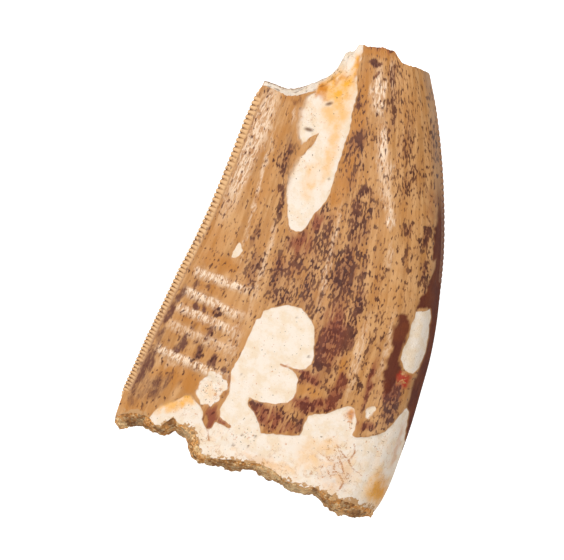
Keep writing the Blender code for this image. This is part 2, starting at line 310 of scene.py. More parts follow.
CREST = ((4, 11.5), (10, 10.4), (18, 7.9), (26, 5.2))
FOLDS = ((-1.2, -1.9), (-3.7, -4.9), (-5.8, -6.9), (-8.0, -9.1), (-11.2, -12.2))
FOLD_STRENGTHS = (1.0, 0.95, 0.95, 0.5, 1.0)
FOLD_SPAN = (-10.5, -3.5)

UPPER_FLAKE = (
    (-4.6, 30), (-1.6, 22.0), (-2.3, 21.2), (-2.3, 20.2), (-2.7, 19.5), (-2.5, 18.5), (-2.3, 17.0),
    (-1.9, 16.3), (-1.5, 15.8), (-0.7, 16.9), (0.0, 17.5), (-0.2, 16.2), (-0.7, 15.3), (-1.2, 14.3),
    (-1.6, 13.3), (-1.9, 12.2), (-2.0, 11.2), (-1.8, 10.2), (-1.5, 9.2), (-1.2, 8.2), (-0.9, 7.2),
    (-0.7, 6.5), (-0.2, 6.15), (0.4, 6.0), (0.9, 6.1), (1.3, 6.6), (1.6, 7.4), (1.9, 8.3), (2.4, 9.3),
    (2.8, 10.2), (3.0, 11.2), (3.05, 12.5), (3.1, 15.5), (3.2, 17), (3.35, 18.2), (3.3, 19.3), (3.15, 20.5),
    (3.1, 22), (2.95, 23.5), (2.75, 24.5), (2.55, 25.5), (2.4, 28.2), (2.4, 30),
)
LOWER_FLAKE = (
    (-13, -24), (-10.6, -20), (-10.0, -18.2), (-9.4, -17.3), (-8.4, -16.5), (-7.6, -16.0), (-7.0, -15.4),
    (-6.4, -15.2), (-5.9, -15.6), (-5.0, -16.1), (-4.5, -16.7), (-4.4, -17.6), (-3.6, -18.5), (-3.1, -18.2),
    (-2.9, -17.4), (-2.0, -17.55), (-1.1, -17.75), (-1.0, -17.35), (-2.0, -17.0), (-2.5, -16.7),
    (-2.7, -15.9), (-2.5, -15.0), (-2.2, -13.9), (-2.4, -12.4), (-2.6, -11.5), (-2.4, -10.5), (-2.1, -9.3),
    (-1.9, -8.2), (-1.7, -7.0), (-1.5, -5.7), (-1.4, -4.9), (-0.9, -4.6), (-0.8, -3.8), (0.0, -3.2),
    (0.6, -2.8), (1.4, -2.4), (2.2, -2.35), (3.2, -2.4), (4.0, -2.8), (4.7, -3.4), (5.2, -4.0), (5.5, -4.9),
    (5.8, -6.0), (6.0, -7.2), (6.0, -8.2), (5.5, -8.8), (4.8, -9.15), (4.15, -9.2), (3.0, -9.05),
    (4.1, -9.42), (4.6, -9.7), (5.0, -10.3), (5.15, -11.3), (5.1, -12.3), (4.5, -13.1), (3.3, -13.6),
    (2.0, -13.8), (0.9, -13.75), (0.2, -13.7), (0.1, -14.0), (0.3, -14.7), (1.0, -15.2), (1.6, -15.8),
    (2.1, -16.5), (2.5, -17.3), (3.5, -17.1), (5.0, -16.8), (6.8, -16.4), (7.0, -15.6), (7.0, -14.8),
    (7.2, -14.0), (7.8, -13.6), (9.0, -13.2), (10.0, -12.6), (10.5, -12.1), (11.3, -11.7), (12.0, -11.7),
    (12.3, -12.4), (12.6, -13.2), (12.7, -14.2), (12.5, -14.8), (13.0, -15.0), (13.8, -14.7), (14.8, -14.3),
    (15.5, -14.0), (16.2, -13.4), (16.8, -12.4), (17.3, -11.2), (17.8, -10.1), (18.2, -10.5), (18.4, -12),
    (18.55, -14), (20.5, -14.5), (21, -26), (-11, -26),
)
SPECKLED_FLAKE = (
    (-5.0, -12.1), (-5.2, -12.7), (-5.6, -13.4), (-6.0, -14.5), (-5.6, -15.3), (-5.0, -15.9), (-4.2, -15.9),
    (-3.3, -15.2), (-2.95, -14.3), (-2.7, -13.1), (-3.0, -12.6), (-3.9, -12.0),
)
FRONT_FLAKE = (
    (16.0, 0.7), (15.9, -2.5), (15.7, -4.0), (15.75, -5.0), (16.2, -6.0), (16.9, -6.3), (17.5, -6.2),
    (18.0, -5.5), (18.15, -4.5), (18.3, -3.2), (18.15, -1.8), (17.95, -0.5), (17.75, 0.7), (17.5, 1.4),
    (17.0, 1.0), (16.5, 0.9),
)
SMALL_FLAKE = (
    (-5.3, 3.1), (-5.7, 2.6), (-6.0, 1.9), (-5.9, 1.3), (-5.5, 1.1), (-5.2, 1.6), (-5.05, 2.4),
)
LOW_FLAKE = ((14.2, -10.8), (14.5, -11.3), (14.2, -12.2), (13.6, -12.7), (13.3, -12.2), (13.4, -11.5))
CRACKED_BASE = (Zone(11.0, -19.0, 4.2, 3.4, 0, 1.0), Zone(1.5, -20.2, 6.0, 1.3, 0, 0.7))

FOLD_WANDER = Grain(0.1, 1.3, 1.3, 23)
FLAKE_WANDER = (Grain(0.07, 0.35, 0.45, 21), Grain(0.05, 0.9, 1.1, 22))
STRIAE = (Grain(0.022, 0.28, 5.0, 31), Grain(0.03, 0.7, 9.0, 32))
SWELL = Grain(0.07, 2.6, 9.0, 33)
WRINKLES = Grain(0.035, 0.35, 1.3, 34, slant=0.4)
PUCKERS = Grain(0.05, 0.32, 1.5, 35)
CREST_LINES = Grain(0.04, 0.3, 2.2, 36, slant=0.3)
DENTINE_LUMPS = (Grain(0.03, 1.1, 1.3, 37), Grain(0.012, 0.35, 0.35, 38))
FACETS = Grain(0.2, 1.2, 0.9, 39, slant=0.4)
INNER_WAVES = Grain(0.05, 0.5, 6.0, 41)
BREAK_PITS = (Grain(0.12, 1 / 60, 1 / 18, 51), Grain(0.22, 1 / 24, 1 / 7, 52), Grain(0.3, 1 / 9, 1 / 3, 54))
BREAK_EDGE = Grain(0.06, 1 / 90, 1.0, 53)


class Flake(NamedTuple):
    """A place that has lost its enamel: outline, floor's depth, ledge's width, and how ragged it is."""

    outline: Stations
    depth: float
    ledge: float
    ragged: float


FLAKES = (
    Flake(UPPER_FLAKE, 0.24, 0.26, 1.3), Flake(LOWER_FLAKE, 0.17, 0.3, 1.0),
    Flake(SPECKLED_FLAKE, 0.08, 0.3, 3.2), Flake(FRONT_FLAKE, 0.16, 0.3, 1.2),
    Flake(SMALL_FLAKE, 0.08, 0.3, 2.0), Flake(LOW_FLAKE, 0.06, 0.4, 3.0),
)


@dataclass
class Crown:
    """The broken crown: a flattened cone with enamel flaked from its dentine. Sizes are in millimetres."""

    rows: int = 300
    columns: int = 190
    layers: int = 18
    base_row: float = -20.0
    tip_row: float = 28.0
    base_bend: float = 8.0
    tip_bend: float = 18.0
    base_slope: float = 0.4
    crest_height: float = 0.25
    fold_height: float = 0.3
    fold_brow: float = 0.62
    fold_foot: float = -0.95
    front_swell: float = 0.06
    section_height: float = 7.0
    section_width: float = 28.0
    wall_crowding: float = 1.25
    sharp: float = 42.0

    def edge(self, share: np.ndarray, along: np.ndarray) -> np.ndarray:
        """Half the thickness of the saw edges, blended straight across the crown."""
        front = curve_through(FRONT_HALF_THICKNESS, along)
        return REAR_HALF_THICKNESS + share * (front - REAR_HALF_THICKNESS)

    def across(self, share: np.ndarray, along: np.ndarray) -> np.ndarray:
        """Place across the crown: the rear edge and a share of the way to the front one."""
        rear = curve_through(REAR_EDGE, along)
        return rear + share * (curve_through(FRONT_EDGE, along) - rear)

    def broken(self, outline: Stations, share: np.ndarray) -> np.ndarray:
        """How far along a broken end is, straight between its corners, which are at shares of the width."""
        across, along = np.array(outline, dtype=float).T
        rear = curve_through(REAR_EDGE, along)
        return np.interp(share, (across - rear) / (curve_through(FRONT_EDGE, along) - rear), along)

    def folds(self, across: np.ndarray, along: np.ndarray) -> np.ndarray:
        """Strength of the enamel folds beside the rear edge.

        Each is a band about a slanting line, with a steep brow towards the tip and a long foot towards the
        base, faded at its two ends.

        Args:
            across: places across the crown.
            along: places along the crown.

        Returns:
            The folds' strength, from 0 to about 1.
        """
        start, end = FOLD_SPAN
        inset = across - curve_through(REAR_EDGE, along)
        faded = between(0.9, 1.9, inset) * (1 - between(end - 1.2, end + 1.6, across))
        share = (across - start) / (end - start)
        total = np.zeros(across.shape)
        for (first, last), strength in zip(FOLDS, FOLD_STRENGTHS):
            above = along - (first + share * (last - first)) + FOLD_WANDER.at(across, along)
            brow = 1 - between(self.fold_brow - 0.3, self.fold_brow, above)
            total += strength * brow * between(self.fold_foot, self.fold_foot + 0.85, above)
        return faded * total

    def crest(self, across: np.ndarray, along: np.ndarray) -> np.ndarray:
        """Strength of the crest along the upper part of the crown: a hump about a slanting line."""
        return ease((along - CREST[0][0]) / 5.0) * hump(across - curve_through(CREST, along), 0.9)

    def lost(self, across: np.ndarray, along: np.ndarray) -> tuple[np.ndarray, np.ndarray]:
        """Where the enamel is lost.

        Each flake's floor is reached by an eased step about its outline, which wanders by a random field.

        Args:
            across: places across the crown.
            along: places along the crown.

        Returns:
            The depth of the missing enamel, and the signed distance into the nearest flake.
        """
        wander = grains(FLAKE_WANDER, across, along)
        depth = np.zeros(across.shape)
        inside = np.full(across.shape, FAR_OUTSIDE)
        for flake in FLAKES:
            distance = depth_inside(flake.outline, across, along) + flake.ragged * wander
            depth = np.maximum(depth, flake.depth * between(-flake.ledge / 2, flake.ledge / 2, distance))
            inside = np.maximum(inside, distance)
        return depth, inside

    def relief(self, across: np.ndarray, along: np.ndarray, inside: np.ndarray) -> np.ndarray:
        """Fine relief of the outer face.

        Enamel has lengthwise striae, from random fields stretched along the tooth, and wrinkles beside the
        saw edge; bare dentine has low lumps, and facets with cracks near the base.

        Args:
            across: places across the crown.
            along: places along the crown.
            inside: signed distance into the nearest flake.

        Returns:
            The height to add.
        """
        swell = SWELL.at(across, along)
        inset = across - curve_through(REAR_EDGE, along)
        wrinkles = (1 - between(3.5, 5.5, inset)) * WRINKLES.at(across, along)
        puckers = self.folds(across, along) * PUCKERS.at(across, along)
        near_crest = hump(across - curve_through(CREST, along) - 0.5, 1.6) * between(3, 9, along)
        combed = near_crest * CREST_LINES.at(across, along)
        enamel = grains(STRIAE, across, along) + swell + wrinkles + puckers + combed
        facets = toned(CRACKED_BASE, across, along) * np.abs(FACETS.at(across, along))
        bare = between(-0.1, 0.1, inside)
        dentine = swell + grains(DENTINE_LUMPS, across, along) - facets
        return dentine * bare + enamel * (1 - bare)

    def outer(self, share: np.ndarray, along: np.ndarray) -> np.ndarray:
        """Height of the outer face: edge level, half thickness, bulge, folds, crest and relief.

        Args:
            share: share of the width from the rear edge.
            along: places along the crown.

        Returns:
            The height at each place.
        """
        edge = self.edge(share, along)
        bulge = (curve_through(OUTER_BULGE, along) - edge) * curve_through(OUTER_PROFILE, share)
        across = self.across(share, along)
        depth, inside = self.lost(across, along)
        folds, crest = self.folds(across, along), self.crest(across, along)
        raised = self.fold_height * folds + self.crest_height * crest
        shell = between(0.0, 0.05, share) * between(0.0, 0.03, 1 - share)
        fine = self.relief(across, along, inside) - depth
        return curve_through(EDGE_LEVEL, along) + edge + bulge + raised + shell * fine

    def inner(self, share: np.ndarray, along: np.ndarray) -> np.ndarray:
        """Height of the inner face: the same way down, worn flat where the crown lies on it."""
        edge = self.edge(share, along)
        bulge = (curve_through(INNER_BULGE, along) - edge) * curve_through(INNER_PROFILE, share)
        across = self.across(share, along)
        wavy = INNER_WAVES.at(across, along) * between(0.0, 0.08, share * (1 - share))
        height = curve_through(EDGE_LEVEL, along) - edge - bulge
        return np.maximum(0.0, height + wavy * between(0.1, 1.2, height))

    def point(self, share: np.ndarray, row: np.ndarray, depth: np.ndarray) -> np.ndarray:
        """Place of the skin.

        Rows run straight in the middle of the crown and bend by eased blends to the broken lines at its
        ends. Heights run from the outer face to the inner one with depth; broken faces are lumpy between.

        Args:
            share: share of the width from the rear edge.
            row: unbent place along.
            depth: share of the way from the outer face to the inner one.

        Returns:
            Places, in rows of across, along and height.
        """
        share, row, depth = np.broadcast_arrays(share, row, depth)
        toward_base = ease((self.base_row + self.base_bend - row) / self.base_bend)
        toward_tip = ease((row - self.tip_row + self.tip_bend) / self.tip_bend)
        reached = between(0.0, 0.3, depth)
        tip = self.broken(TIP_BREAK, share) * (1 - reached) + self.broken(TIP_RIM, share) * reached
        base = self.broken(BASE_BREAK, share) - self.base_slope * depth
        lump = np.sin(np.pi * depth) ** 0.5
        pitted = grains(BREAK_PITS, share, depth)
        tip = tip - lump * (0.12 + np.abs(pitted))
        base = base + lump * pitted
        along = row + toward_base * (base - self.base_row) + toward_tip * (tip - self.tip_row)
        ragged = BREAK_EDGE.at(share, 0 * row)
        along = along + ragged * (between(0.9, 1, toward_tip) + between(0.9, 1, toward_base))
        height = self.outer(share, along) * (1 - depth) + self.inner(share, along) * depth
        rounding = 4 * depth * (1 - depth) * self.edge(share, along) * self.front_swell
        outwards = between(0.98, 1, share) - between(0.98, 1, 1 - share)
        return np.stack((self.across(share, along) + rounding * outwards, along, height), axis=-1)

    def shares(self) -> np.ndarray:
        """Columns spaced evenly along the outer face's section, by its length from the rear edge."""
        share = np.linspace(0, 1, FINE_STEPS)
        height = curve_through(OUTER_PROFILE, share) * self.section_height
        steps = np.hypot(np.diff(share) * self.section_width, np.diff(height))
        length = np.concatenate(([0], np.cumsum(steps)))
        return np.interp(np.linspace(0, length[-1], self.columns + 1), length, share)

    def skin(self) -> Skin:
        """Closed skin: a fine outer face, rings down its sides, and an inner face with half as many points.

        Returns:
            The skin with its tones.
        """
        share = self.shares()[None, :]
        row = np.linspace(self.base_row, self.tip_row, self.rows + 1)[:, None]
        outer = self.point(share, row, np.zeros(1))
        inner = self.point(share[:, ::2], row[::2], np.ones(1))
        loop_share = np.broadcast_to(share, outer.shape[:2])
        loop_row = np.broadcast_to(row, outer.shape[:2])
        index = np.arange(loop_share.size).reshape(loop_share.shape)
        border = rim(index)
        depths = (np.arange(1, self.layers) / self.layers)[:, None] ** self.wall_crowding
        walls = self.point(loop_share.ravel()[border][None, :], loop_row.ravel()[border][None, :], depths)
        wall_index = index.size + np.arange(walls.shape[0] * walls.shape[1]).reshape(walls.shape[:2])
        start = index.size + wall_index.size
        inner_index = start + np.arange(inner.shape[0] * inner.shape[1]).reshape(inner.shape[:2])
        loops = np.vstack((border, wall_index))
        closed = np.hstack((loops, loops[:, :1]))
        faces = [grid_faces(index), grid_faces(closed, flipped=True)]
        faces += [stitch(wall_index[-1], rim(inner_index)), grid_faces(inner_index, flipped=True)]
        blocks = [block.reshape(-1, 3) for block in (outer, walls, inner)]
        sides = np.concatenate([np.full(len(block), side) for side, block in enumerate(blocks)])
        points = np.concatenate(blocks)
        shares = np.concatenate(
            (loop_share.ravel(), np.tile(loop_share.ravel()[border], len(walls)),
             np.broadcast_to(share[:, ::2], inner.shape[:2]).ravel())
        )
        return Skin(points, faces, CrownTones(self, points, shares, sides).every())

    def build(self, material: bpy.types.Material) -> bpy.types.Object:
        """Make the crown, hang it on the root body and hide the imported tooth.

        Args:
            material: the finish of its enamel and dentine.

        Returns:
            The piece.
        """
        piece = self.skin().build("tooth_crown", material, self.sharp)
        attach(piece, "root")
        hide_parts("tooth")
        LOG.info("tooth crown is built, %d faces", len(piece.data.polygons))
        return piece


# Tones of the crown, as soft ovals and outlines laid down

STAIN = (
    Zone(3.2, 1.6, 6.4, 6.6, 0, 0.46), Zone(7.6, 3.3, 2.4, 4.2, 3, 0.6), Zone(0.9, 0.0, 2.6, 2.8, 0, 0.4),
    Zone(4.7, 15.5, 1.1, 4.2, -3, 0.5), Zone(7.5, 22.0, 0.9, 4.2, -12, 0.4),
    Zone(6.7, 26.2, 1.2, 1.6, 0, 0.5), Zone(11.0, 13.5, 1.3, 2.6, -8, 0.3),
    Zone(-2.4, 13.0, 0.8, 3.0, -8, 0.45), Zone(-0.2, 0.7, 0.9, 2.2, 12, 0.6),
    Zone(9.5, -0.6, 0.7, 2.6, 0, 0.6), Zone(7.4, -5.8, 1.9, 5.0, -3, 0.7),
    Zone(9.1, -4.2, 1.1, 1.9, 0, 0.95), Zone(6.4, -6.9, 0.5, 2.8, 0, 0.85),
    Zone(5.9, -9.8, 1.2, 0.9, 0, 0.9), Zone(9.5, -11.0, 1.0, 1.7, 0, 0.85),
    Zone(7.2, -12.9, 2.3, 1.0, 0, 0.75), Zone(3.9, -15.3, 3.5, 1.7, 0, 0.6),
    Zone(9.9, -9.0, 0.45, 1.1, 0, 0.85), Zone(6.2, -9.9, 1.2, 0.6, 0, 0.7),
    Zone(8.7, -12.3, 1.5, 0.6, 0, 0.6), Zone(1.0, -14.3, 1.0, 0.7, 40, 0.9),
    Zone(6.6, -15.1, 0.6, 1.4, 0, 1.0), Zone(2.1, -15.3, 0.5, 0.6, 0, 0.9),
    Zone(11.7, 15.0, 1.6, 2.6, -5, 0.6), Zone(10.1, 19.0, 1.3, 2.6, -8, 0.45),
    Zone(9.3, 23.3, 1.4, 3.2, -8, 0.4), Zone(3.6, 22.2, 0.7, 1.7, 0, 0.5),
    Zone(3.7, 21.6, 0.4, 0.5, 0, 0.95), Zone(4.2, 26.8, 0.9, 0.45, 0, 0.95),
    Zone(4.8, 25.7, 0.4, 0.4, 0, 0.8), Zone(6.8, 12.3, 0.9, 0.7, 0, 0.8), Zone(5.7, 15.2, 0.5, 0.8, 0, 0.7),
    Zone(4.9, 17.8, 1.6, 2.2, 0, 0.4), Zone(6.3, 10.5, 0.8, 1.5, 0, 0.7),
    Zone(14.8, 8.9, 0.8, 2.2, 10, 0.75), Zone(13.6, 5.6, 0.8, 2.8, -6, 0.5),
    Zone(11.1, 2.8, 0.7, 2.3, 0, 0.45), Zone(12.6, 9.2, 0.9, 1.3, 0, 0.55),
    Zone(-4.0, 4.4, 0.5, 1.7, 5, 0.75), Zone(-3.6, 1.2, 1.6, 2.0, 0, 0.5),
    Zone(-2.0, 8.6, 0.5, 3.2, -3, 0.5), Zone(-2.6, 9.9, 0.5, 0.8, 0, 0.75),
    Zone(-3.3, 13.6, 1.1, 2.2, 0, 0.45), Zone(-2.3, 15.2, 0.9, 0.5, 0, 0.6),
    Zone(7.2, 8.4, 1.9, 2.2, 0, 0.5), Zone(3.5, 7.6, 1.1, 2.7, 0, 0.6), Zone(-3.4, -1.0, 1.3, 1.4, 0, 0.4),
    Zone(-5.8, -5.4, 0.9, 0.6, 0, 0.5), Zone(-6.0, -8.0, 0.6, 1.3, 12, 0.55),
    Zone(-4.6, -10.6, 0.9, 1.5, 8, 0.6), Zone(12.0, -3.6, 0.4, 3.8, 0, 0.45),
    Zone(13.0, -10.2, 0.3, 2.3, 0, 0.95), Zone(12.9, -7.6, 0.45, 0.8, 0, 0.9),
    Zone(12.9, -4.3, 0.35, 2.2, 0, 0.55), Zone(11.9, -9.4, 0.4, 0.8, 0, 0.6),
    Zone(16.2, -10.6, 1.4, 2.6, 5, 0.7), Zone(14.2, -13.5, 1.1, 0.8, 0, 0.8),
    Zone(15.6, -8.6, 1.3, 1.3, 0, 0.8), Zone(16.0, 4.9, 0.7, 2.4, -10, 0.6),
    Zone(11.8, -12.9, 0.4, 0.5, 0, 0.6), Zone(8.4, 11.2, 1.5, 1.6, 0, 0.3),
    Zone(12.8, 20.5, 1.0, 5.5, -18, 0.35),
)
WASH = (
    Zone(-9.2, -2.6, 0.45, 0.5, 0, 0.6), Zone(-7.9, -2.8, 0.6, 0.5, 0, 0.55),
    Zone(-8.5, -5.2, 0.45, 0.5, 0, 0.85), Zone(-7.6, -5.2, 0.4, 0.6, 0, 0.6),
    Zone(-5.8, -5.4, 0.8, 0.5, 0, 0.4), Zone(-6.1, -7.9, 0.45, 1.3, 12, 0.65),
    Zone(-8.2, -7.5, 0.5, 0.9, 8, 0.45), Zone(-8.8, -9.8, 0.5, 1.6, 16, 0.8),
    Zone(-9.5, -10.7, 0.6, 0.6, 0, 0.7), Zone(-6.8, -10.2, 0.55, 1.4, 8, 0.75),
    Zone(-4.9, -10.7, 0.6, 1.3, 8, 0.85), Zone(-3.6, -11.3, 0.45, 0.6, 0, 0.8),
    Zone(-10.4, -4.2, 0.5, 1.4, 10, 0.8), Zone(-11.1, -6.6, 0.5, 1.7, 14, 0.7),
    Zone(-11.6, -9.4, 0.6, 2.0, 10, 0.55), Zone(-12.0, -12.9, 0.65, 2.4, 14, 0.75),
    Zone(-12.9, -15.5, 0.6, 1.8, 12, 0.65), Zone(-10.2, -15.2, 0.9, 2.2, 10, 0.35),
    Zone(-10.4, -0.5, 0.4, 3.0, 10, 0.3), Zone(-3.4, -17.3, 0.6, 1.0, 0, 0.7),
    Zone(-5.0, -16.0, 0.5, 0.3, 0, 0.6), Zone(4.3, 29.0, 2.4, 0.28, 0, 0.8),
    Zone(4.1, 26.8, 0.9, 0.6, 0, 0.7), Zone(3.7, 21.6, 0.5, 0.7, 0, 0.5), Zone(9.0, -4.2, 1.0, 1.7, 0, 0.6),
    Zone(6.6, -15.1, 0.55, 1.3, 0, 0.75), Zone(1.2, -14.4, 1.1, 0.6, 40, 0.6),
    Zone(6.3, -6.8, 0.5, 2.2, 0, 0.5), Zone(6.9, 3.0, 0.8, 2.0, 3, 0.35),
    Zone(-0.3, 0.6, 0.6, 1.5, 14, 0.4), Zone(-8.6, 20.9, 0.5, 0.6, 0, 0.3),
    Zone(9.8, -5.2, 0.4, 0.8, 0, 0.6), Zone(-2.4, -12.3, 0.5, 0.5, 0, 0.8),
    Zone(12.9, -9.6, 0.3, 2.4, 0, 0.5), Zone(15.6, -9.2, 1.0, 1.2, 0, 0.5),
    Zone(13.0, 17.0, 0.5, 9.0, -19, 0.2), Zone(-3.3, 20.2, 1.1, 0.7, 0, 0.4),
    Zone(-3.0, 16.6, 0.8, 2.0, 0, 0.3), Zone(-11.4, -15.6, 1.4, 2.2, 12, 0.4),
    Zone(-12.6, -17.4, 1.0, 1.4, 0, 0.4), Zone(-9.2, -14.4, 0.4, 1.5, 12, 0.5),
    Zone(-8.0, -14.3, 0.35, 1.1, 12, 0.35), Zone(-5.0, -15.6, 0.5, 0.4, 0, 0.6),
    Zone(-7.4, -8.8, 0.3, 1.0, 10, 0.4), Zone(-2.6, 14.0, 0.9, 2.4, -8, 0.3),
    Zone(-4.1, 4.2, 0.5, 2.0, 5, 0.4), Zone(-3.4, 0.4, 1.2, 1.4, 0, 0.25),
)
RUST = (
    Zone(-3.5, -16.8, 1.0, 1.8, 0, 1.0), Zone(-2.0, -17.4, 1.6, 0.9, 0, 1.0),
    Zone(-2.6, -13.4, 0.35, 1.6, 0, 0.6), Zone(4.6, 28.6, 2.2, 0.3, 0, 0.7),
    Zone(1.2, 4.7, 1.6, 1.7, 0, 0.9), Zone(2.3, 7.6, 0.9, 1.7, 14, 0.9), Zone(7.3, -2.5, 1.5, 2.4, 0, 0.7),
    Zone(7.6, -5.2, 2.0, 3.2, 0, 0.7), Zone(9.6, -11.3, 0.9, 1.4, 0, 0.85),
    Zone(13.0, -8.8, 0.5, 3.4, 0, 0.8), Zone(2.6, -15.3, 2.8, 1.6, 0, 0.9),
    Zone(6.2, -12.9, 2.6, 1.0, 0, 0.85), Zone(15.6, -9.0, 1.5, 1.6, 0, 0.7),
    Zone(4.6, -16.0, 2.4, 1.0, 0, 0.7), Zone(9.8, -9.2, 0.8, 1.6, 0, 0.9),
    Zone(6.2, -9.9, 1.4, 0.8, 0, 0.9), Zone(8.6, -12.2, 1.8, 0.8, 0, 0.9),
    Zone(13.6, -13.4, 1.6, 0.7, 0, 0.7), Zone(0.6, 1.8, 2.0, 1.2, 0, 0.3),
    Zone(14.6, 13.0, 0.7, 2.2, -12, 0.4), Zone(5.0, -9.4, 0.8, 0.4, 0, 0.9),
)
OCHRE = (
    Zone(-7.2, 0.3, 2.8, 1.2, 0, 0.75), Zone(-5.6, 0.4, 1.0, 0.6, 0, 0.8),
    Zone(-7.2, -2.9, 2.6, 0.6, 0, 0.6), Zone(-7.9, -7.1, 2.4, 0.6, 0, 0.6),
    Zone(-8.2, -13.6, 3.0, 1.3, 0, 0.8), Zone(-6.6, -14.2, 1.2, 1.4, 0, 0.7),
    Zone(3.7, 10.7, 0.7, 0.7, 0, 0.95), Zone(4.2, 13.5, 0.9, 3.2, 0, 0.6),
    Zone(6.8, -11.2, 1.7, 0.8, 0, 0.7), Zone(4.3, 19.0, 1.2, 8.0, -4, 0.5),
    Zone(9.5, -7.2, 0.4, 1.3, 0, 0.9), Zone(4.2, 28.1, 2.4, 0.7, 0, 0.9),
    Zone(-3.7, 20.4, 1.6, 0.7, 0, 0.7), Zone(-12.6, -18.2, 1.8, 0.9, 0, 0.6),
    Zone(8.2, 0.0, 0.6, 1.4, 0, 0.5), Zone(-4.3, 12.0, 0.8, 9.0, 3, 0.35),
    Zone(-8.5, 3.0, 1.6, 2.4, 8, 0.4), Zone(4.0, 17.0, 0.9, 12.0, -2, 0.55),
    Zone(4.6, 28.9, 2.6, 0.3, 0, 1.0), Zone(-7.4, -5.2, 2.8, 0.4, -6, 0.4),
    Zone(-7.2, -10.4, 3.0, 0.8, -8, 0.3),
)
# Painted sheen and highlights on the left facet, along the crest and in thin streaks, partly also paler
# worn enamel: ovals of the pale tone.
WORN_AND_PAINTED_SHEEN = (
    Zone(-7.0, 14.0, 1.3, 9.0, 8, 0.85), Zone(-5.0, 9.0, 0.25, 9.0, 0, 0.6),
    Zone(5.5, 23.6, 0.9, 3.2, -14, 1.0), Zone(7.4, 18.0, 0.7, 2.6, -14, 0.95),
    Zone(8.5, 15.0, 1.0, 2.8, -14, 0.55), Zone(10.4, 10.2, 0.5, 1.3, -14, 1.0),
    Zone(-7.2, 17.5, 1.2, 4.5, 8, 0.35), Zone(6.4, 26.0, 0.4, 2.4, -14, 0.4),
    Zone(9.6, 12.2, 0.6, 1.5, -14, 0.5), Zone(-2.2, 1.0, 0.4, 7.0, 2, 0.45),
    Zone(5.0, 3.6, 0.4, 6.5, -3, 0.6), Zone(10.9, -6.0, 0.6, 5.0, 0, 0.45),
    Zone(13.7, -4.0, 0.4, 4.5, 0, 0.4), Zone(11.4, 6.0, 0.4, 2.2, -8, 0.4),
    Zone(-3.2, -8.0, 0.8, 3.5, 0, 0.4), Zone(-3.2, 18.8, 0.3, 0.9, 0, 0.6),
    Zone(-9.5, -12.0, 2.0, 0.8, -8, 0.3),
)
YELLOW = (
    Zone(0.9, 23.4, 2.2, 2.2, 30, 1.0), Zone(-0.8, 22.6, 1.0, 1.0, 0, 1.0),
    Zone(1.2, 20.5, 2.0, 2.6, 0, 0.6), Zone(1.9, 16.0, 0.8, 4.5, 0, 0.5), Zone(0.5, 12.2, 0.9, 2.6, 0, 0.4),
    Zone(2.2, 26.2, 0.4, 1.8, 0, 1.0), Zone(-6.6, -15.9, 0.9, 0.9, 0, 0.9),
    Zone(10.4, -17.0, 1.2, 1.2, 0, 0.35), Zone(-8.3, -16.9, 0.8, 2.0, 55, 0.8),
    Zone(8.2, -18.3, 1.6, 2.0, 0, 0.3), Zone(17.0, -20.2, 1.5, 2.3, 0, 0.9),
    Zone(5.0, -20.4, 3.0, 0.8, 0, 0.3), Zone(-2.4, -12.2, 0.5, 0.4, 0, 0.4),
)
ORANGE = (
    Zone(-0.8, 22.6, 0.8, 0.6, 40, 0.8), Zone(17.4, -20.0, 1.0, 1.9, 0, 0.35),
    Zone(3.2, -9.1, 0.5, 0.2, 0, 0.5), Zone(-1.3, 22.0, 0.9, 0.4, 50, 0.5),
    Zone(0.6, 24.2, 0.35, 1.6, 52, 0.6), Zone(2.4, 26.0, 0.25, 1.8, 0, 0.6),
    Zone(11.8, -12.6, 0.4, 0.7, 0, 0.8), Zone(-0.6, 21.8, 1.3, 0.5, 35, 0.5),
    Zone(18.0, -14.5, 0.4, 3.0, 0, 0.4),
)
PINK = (
    Zone(11.9, -19.6, 2.0, 2.3, 0, 0.6), Zone(3.0, -20.2, 2.4, 0.8, 0, 0.4),
    Zone(11.6, -12.6, 0.5, 0.9, 0, 0.6),
)
SPECKS = (
    Zone(0.5, -18.4, 2.0, 1.6, 0, 0.9), Zone(15.6, -15.2, 2.0, 1.9, 0, 0.5),
    Zone(-4.2, -13.9, 1.5, 1.8, 0, 1.0), Zone(11.8, -13.0, 0.8, 1.4, 0, 0.8),
    Zone(-1.0, 19.0, 1.4, 2.0, 0, 0.4), Zone(1.6, -14.0, 1.2, 1.2, 0, 0.2),
)
# Ovals where the bare patches' borders are softened; along the upper patch's left edge this spreads the
# darker lip into a painted soft shadow.
SOFT_EDGES_AND_SHADOW = (
    Zone(-2.0, 13.5, 1.5, 6.5, -10, 1.0), Zone(-2.5, 19.2, 1.6, 3.6, 0, 1.0),
    Zone(-8.8, -16.9, 1.2, 2.0, 60, 0.9), Zone(-4.2, -13.9, 2.2, 2.2, 0, 0.6),
    Zone(-6.4, -15.6, 0.9, 0.8, 0, 0.8), Zone(13.9, -11.7, 0.8, 1.2, 0, 0.9),
)
CRAZED = (
    Zone(11.6, -18.8, 3.8, 3.6, 0, 1.0), Zone(4.0, -20.4, 6.5, 1.2, 0, 0.7),
    Zone(-6.8, -17.0, 2.0, 1.0, 0, 0.4), Zone(16.8, -17.6, 1.4, 4.5, 0, 0.7),
    Zone(11.8, -13.0, 1.2, 1.6, 0, 0.7), Zone(1.8, 25.0, 0.9, 4.0, 0, 0.8),
    Zone(-0.6, 22.8, 1.6, 1.4, 30, 0.8), Zone(-1.4, 19.6, 0.9, 2.4, 0, 0.5),
    Zone(5.4, -18.2, 2.2, 1.6, 0, 0.35), Zone(-2.6, -19.7, 3.6, 1.7, 0, 0.6),
    Zone(-4.2, -13.9, 1.4, 1.8, 0, 0.8),
)
SAND = (
    Zone(-12.2, -18.9, 1.8, 0.55, 0, 0.85), Zone(14.5, -22.3, 3.0, 0.6, 0, 0.8),
    Zone(10.3, -21.8, 0.8, 0.7, 0, 0.7),
)
